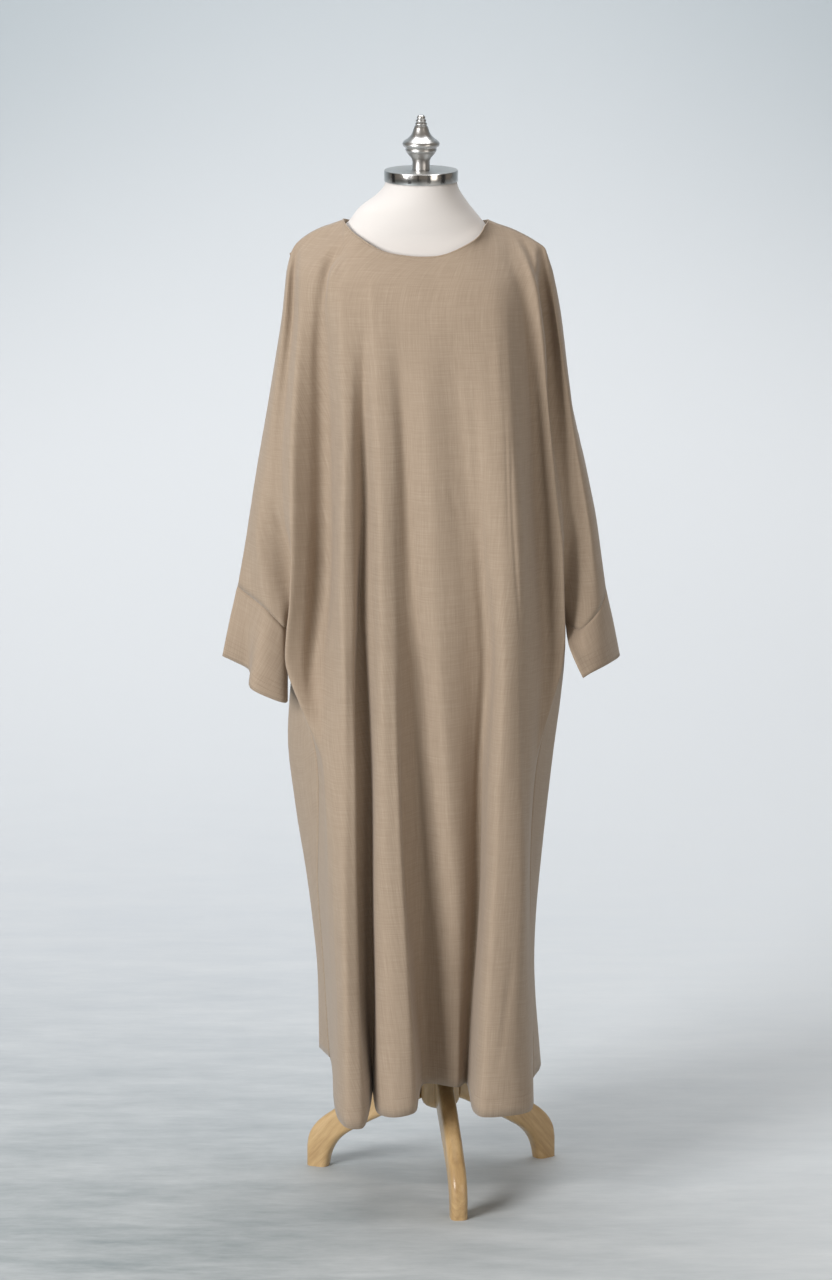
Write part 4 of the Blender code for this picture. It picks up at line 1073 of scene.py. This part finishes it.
# ---------------------------------------------------------------- studio
# A pale sweep of seamless paper under and behind the object, a large soft light from the upper left,
# a weaker one from the right and a pale sky all round. The sweep is drawn only from its front, so that
# the object can be looked at from behind too.
FLOOR_END, BEND, HALF_WIDE = 1.6, 2.4, 9.0
sweep = bmesh.new()
bend = [
    (FLOOR_END + BEND * math.sin(t), BEND - BEND * math.cos(t)) for t in np.linspace(0.15, math.pi / 2, 12)
]
sweep_line = [(-14.0, 0.0), (FLOOR_END, 0.0), *bend, (FLOOR_END + BEND, 9.0)]
line = [sweep.verts.new((-HALF_WIDE, y, z)) for y, z in sweep_line]
edges = [sweep.edges.new(pair) for pair in zip(line, line[1:])]
moved_along(sweep, bmesh.ops.extrude_edge_only(sweep, edges=edges)["geom"], (2 * HALF_WIDE, 0, 0))
paper, shader, where = new_look("pale_studio_floor")
across = where.node("SeparateXYZ", {}, {0: where})
depth, height = across.other(1), across.other(2)
clouds = where.noise((2.6, 0.9, 2.0), 6.0, 0.62)
# Painted shade: the floor is painted darker towards the front and lighter towards the wall, with clouds
# that make the change uneven.
floor_tone_and_painted_light = (depth + clouds * 0.5).eased(-0.35, 2.05)
floor_tone_and_painted_light = floor_tone_and_painted_light.mixed((0.265, 0.31, 0.33, 1), (0.68, 0.725, 0.775, 1))
# Painted light: the floor is painted lighter towards the right, where the light from the left lamp falls
# off.
floor_tone_and_painted_light = across.rising(-0.3, 0.7, 0.6).mixed(floor_tone_and_painted_light, (0.84, 0.88, 0.92, 1))
streaks = where.noise((1.6, 7.0, 3.0), 7.0, 0.74)
stains = where.noise((6.0, 15.0, 3.0), 6.0, 0.7)
marks = (streaks * 0.55 + stains * 0.45).rising(0.36, 0.66, 0.55)
floor_tone_and_painted_light = marks.mixed(floor_tone_and_painted_light, (0.80, 0.83, 0.855, 1))
# Painted light: the wall is painted lighter round its middle and darker towards its top and sides, where
# the light on it falls off.
from_middle = ((across * across * 0.9 + 1.0) * (height - 0.2) * (height - 0.2)).math("SQRT")
wall_painted_falloff = from_middle.eased(0.3, 1.8).mixed((0.75, 0.79, 0.835, 1), (0.46, 0.52, 0.565, 1))
backfacing = where.node("NewGeometry", {}, {}, 6)
camera_ray = where.node("LightPath", {}, {}, 0)
feed(
    shader,
    Base_Color=depth.eased(1.2, 2.8).mixed(floor_tone_and_painted_light, wall_painted_falloff),
    Roughness=0.6 + clouds * 0.2,
    Alpha=1 - backfacing * camera_ray,
)
smooth_object("studio_sweep", sweep, paper)


def soft_light(name, place, towards, size, power, colour):
    """A square light of this size at a place, turned towards a point."""
    light = bpy.data.lights.new(name, "AREA")
    light.shape, light.size, light.energy, light.color = "SQUARE", size, power, colour
    lamp = bpy.data.objects.new(name, light)
    bpy.context.scene.collection.objects.link(lamp)
    lamp.location = place
    lamp.rotation_euler = (Vector(towards) - Vector(place)).to_track_quat("-Z", "Y").to_euler()


soft_light("window_light", (-3.2, -3.45, 2.4), (0, 0, 0.95), 2.0, 232, (1.0, 0.985, 0.965))
soft_light("fill_light", (3.4, -4.6, 2.0), (0, 0, 0.9), 3.0, 60, (1.0, 0.92, 0.83))
soft_light("backdrop_light", (0.0, 1.0, 4.6), (0, 3.4, 1.0), 3.0, 108, (0.97, 0.985, 1.0))
world = bpy.data.worlds.new("pale_studio")
bpy.context.scene.world = world
world.use_nodes = True
sky = world.node_tree.nodes["Background"]
sky.inputs["Color"].default_value = (1.0, 0.87, 0.74, 1)
sky.inputs["Strength"].default_value = 0.20
bpy.context.scene.view_settings.view_transform = "Standard"

VIEW_DOWN, VIEW_FAR = math.radians(12), 10.0
lens = bpy.data.cameras.new("camera")
lens.lens, lens.sensor_width = 181.45, 36.0
camera = bpy.data.objects.new("camera", lens)
bpy.context.scene.collection.objects.link(camera)
camera.location = (-0.0080, 0.0055 - VIEW_FAR * math.cos(VIEW_DOWN), 0.875 + VIEW_FAR * math.sin(VIEW_DOWN))
camera.rotation_euler = (math.pi / 2 - VIEW_DOWN, 0, 0)
bpy.context.scene.camera = camera

# Five narrow dark flags stand round the object, and only the polished steel reflects them.
FLAG_HIGH, FLAG_AT = 1.2, 1.62
flag_look, _, _ = new_look("dark_flag", Base_Color=(0.02, 0.02, 0.02, 1), Roughness=0.9)
for x, y, wide in (
    (-0.95, -1.3, 0.30), (-0.42, -2.6, 0.22), (0.75, -1.6, 0.34), (1.6, -0.5, 0.5), (-1.9, 0.2, 0.5),
):
    flag = bmesh.new()
    bmesh.ops.create_grid(flag, x_segments=1, y_segments=1, size=0.5)
    bmesh.ops.scale(flag, verts=flag.verts, vec=(wide, FLAG_HIGH, 1))
    upright_and_facing = Matrix.Rotation(math.atan2(-x, y), 3, "Z") @ Matrix.Rotation(math.pi / 2, 3, "X")
    bmesh.ops.rotate(flag, verts=flag.verts, cent=(0, 0, 0), matrix=upright_and_facing)
    bmesh.ops.translate(flag, verts=flag.verts, vec=(x, y, FLAG_AT))
    card = smooth_object("flag", flag, flag_look)
    card.visible_camera = card.visible_diffuse = card.visible_shadow = False
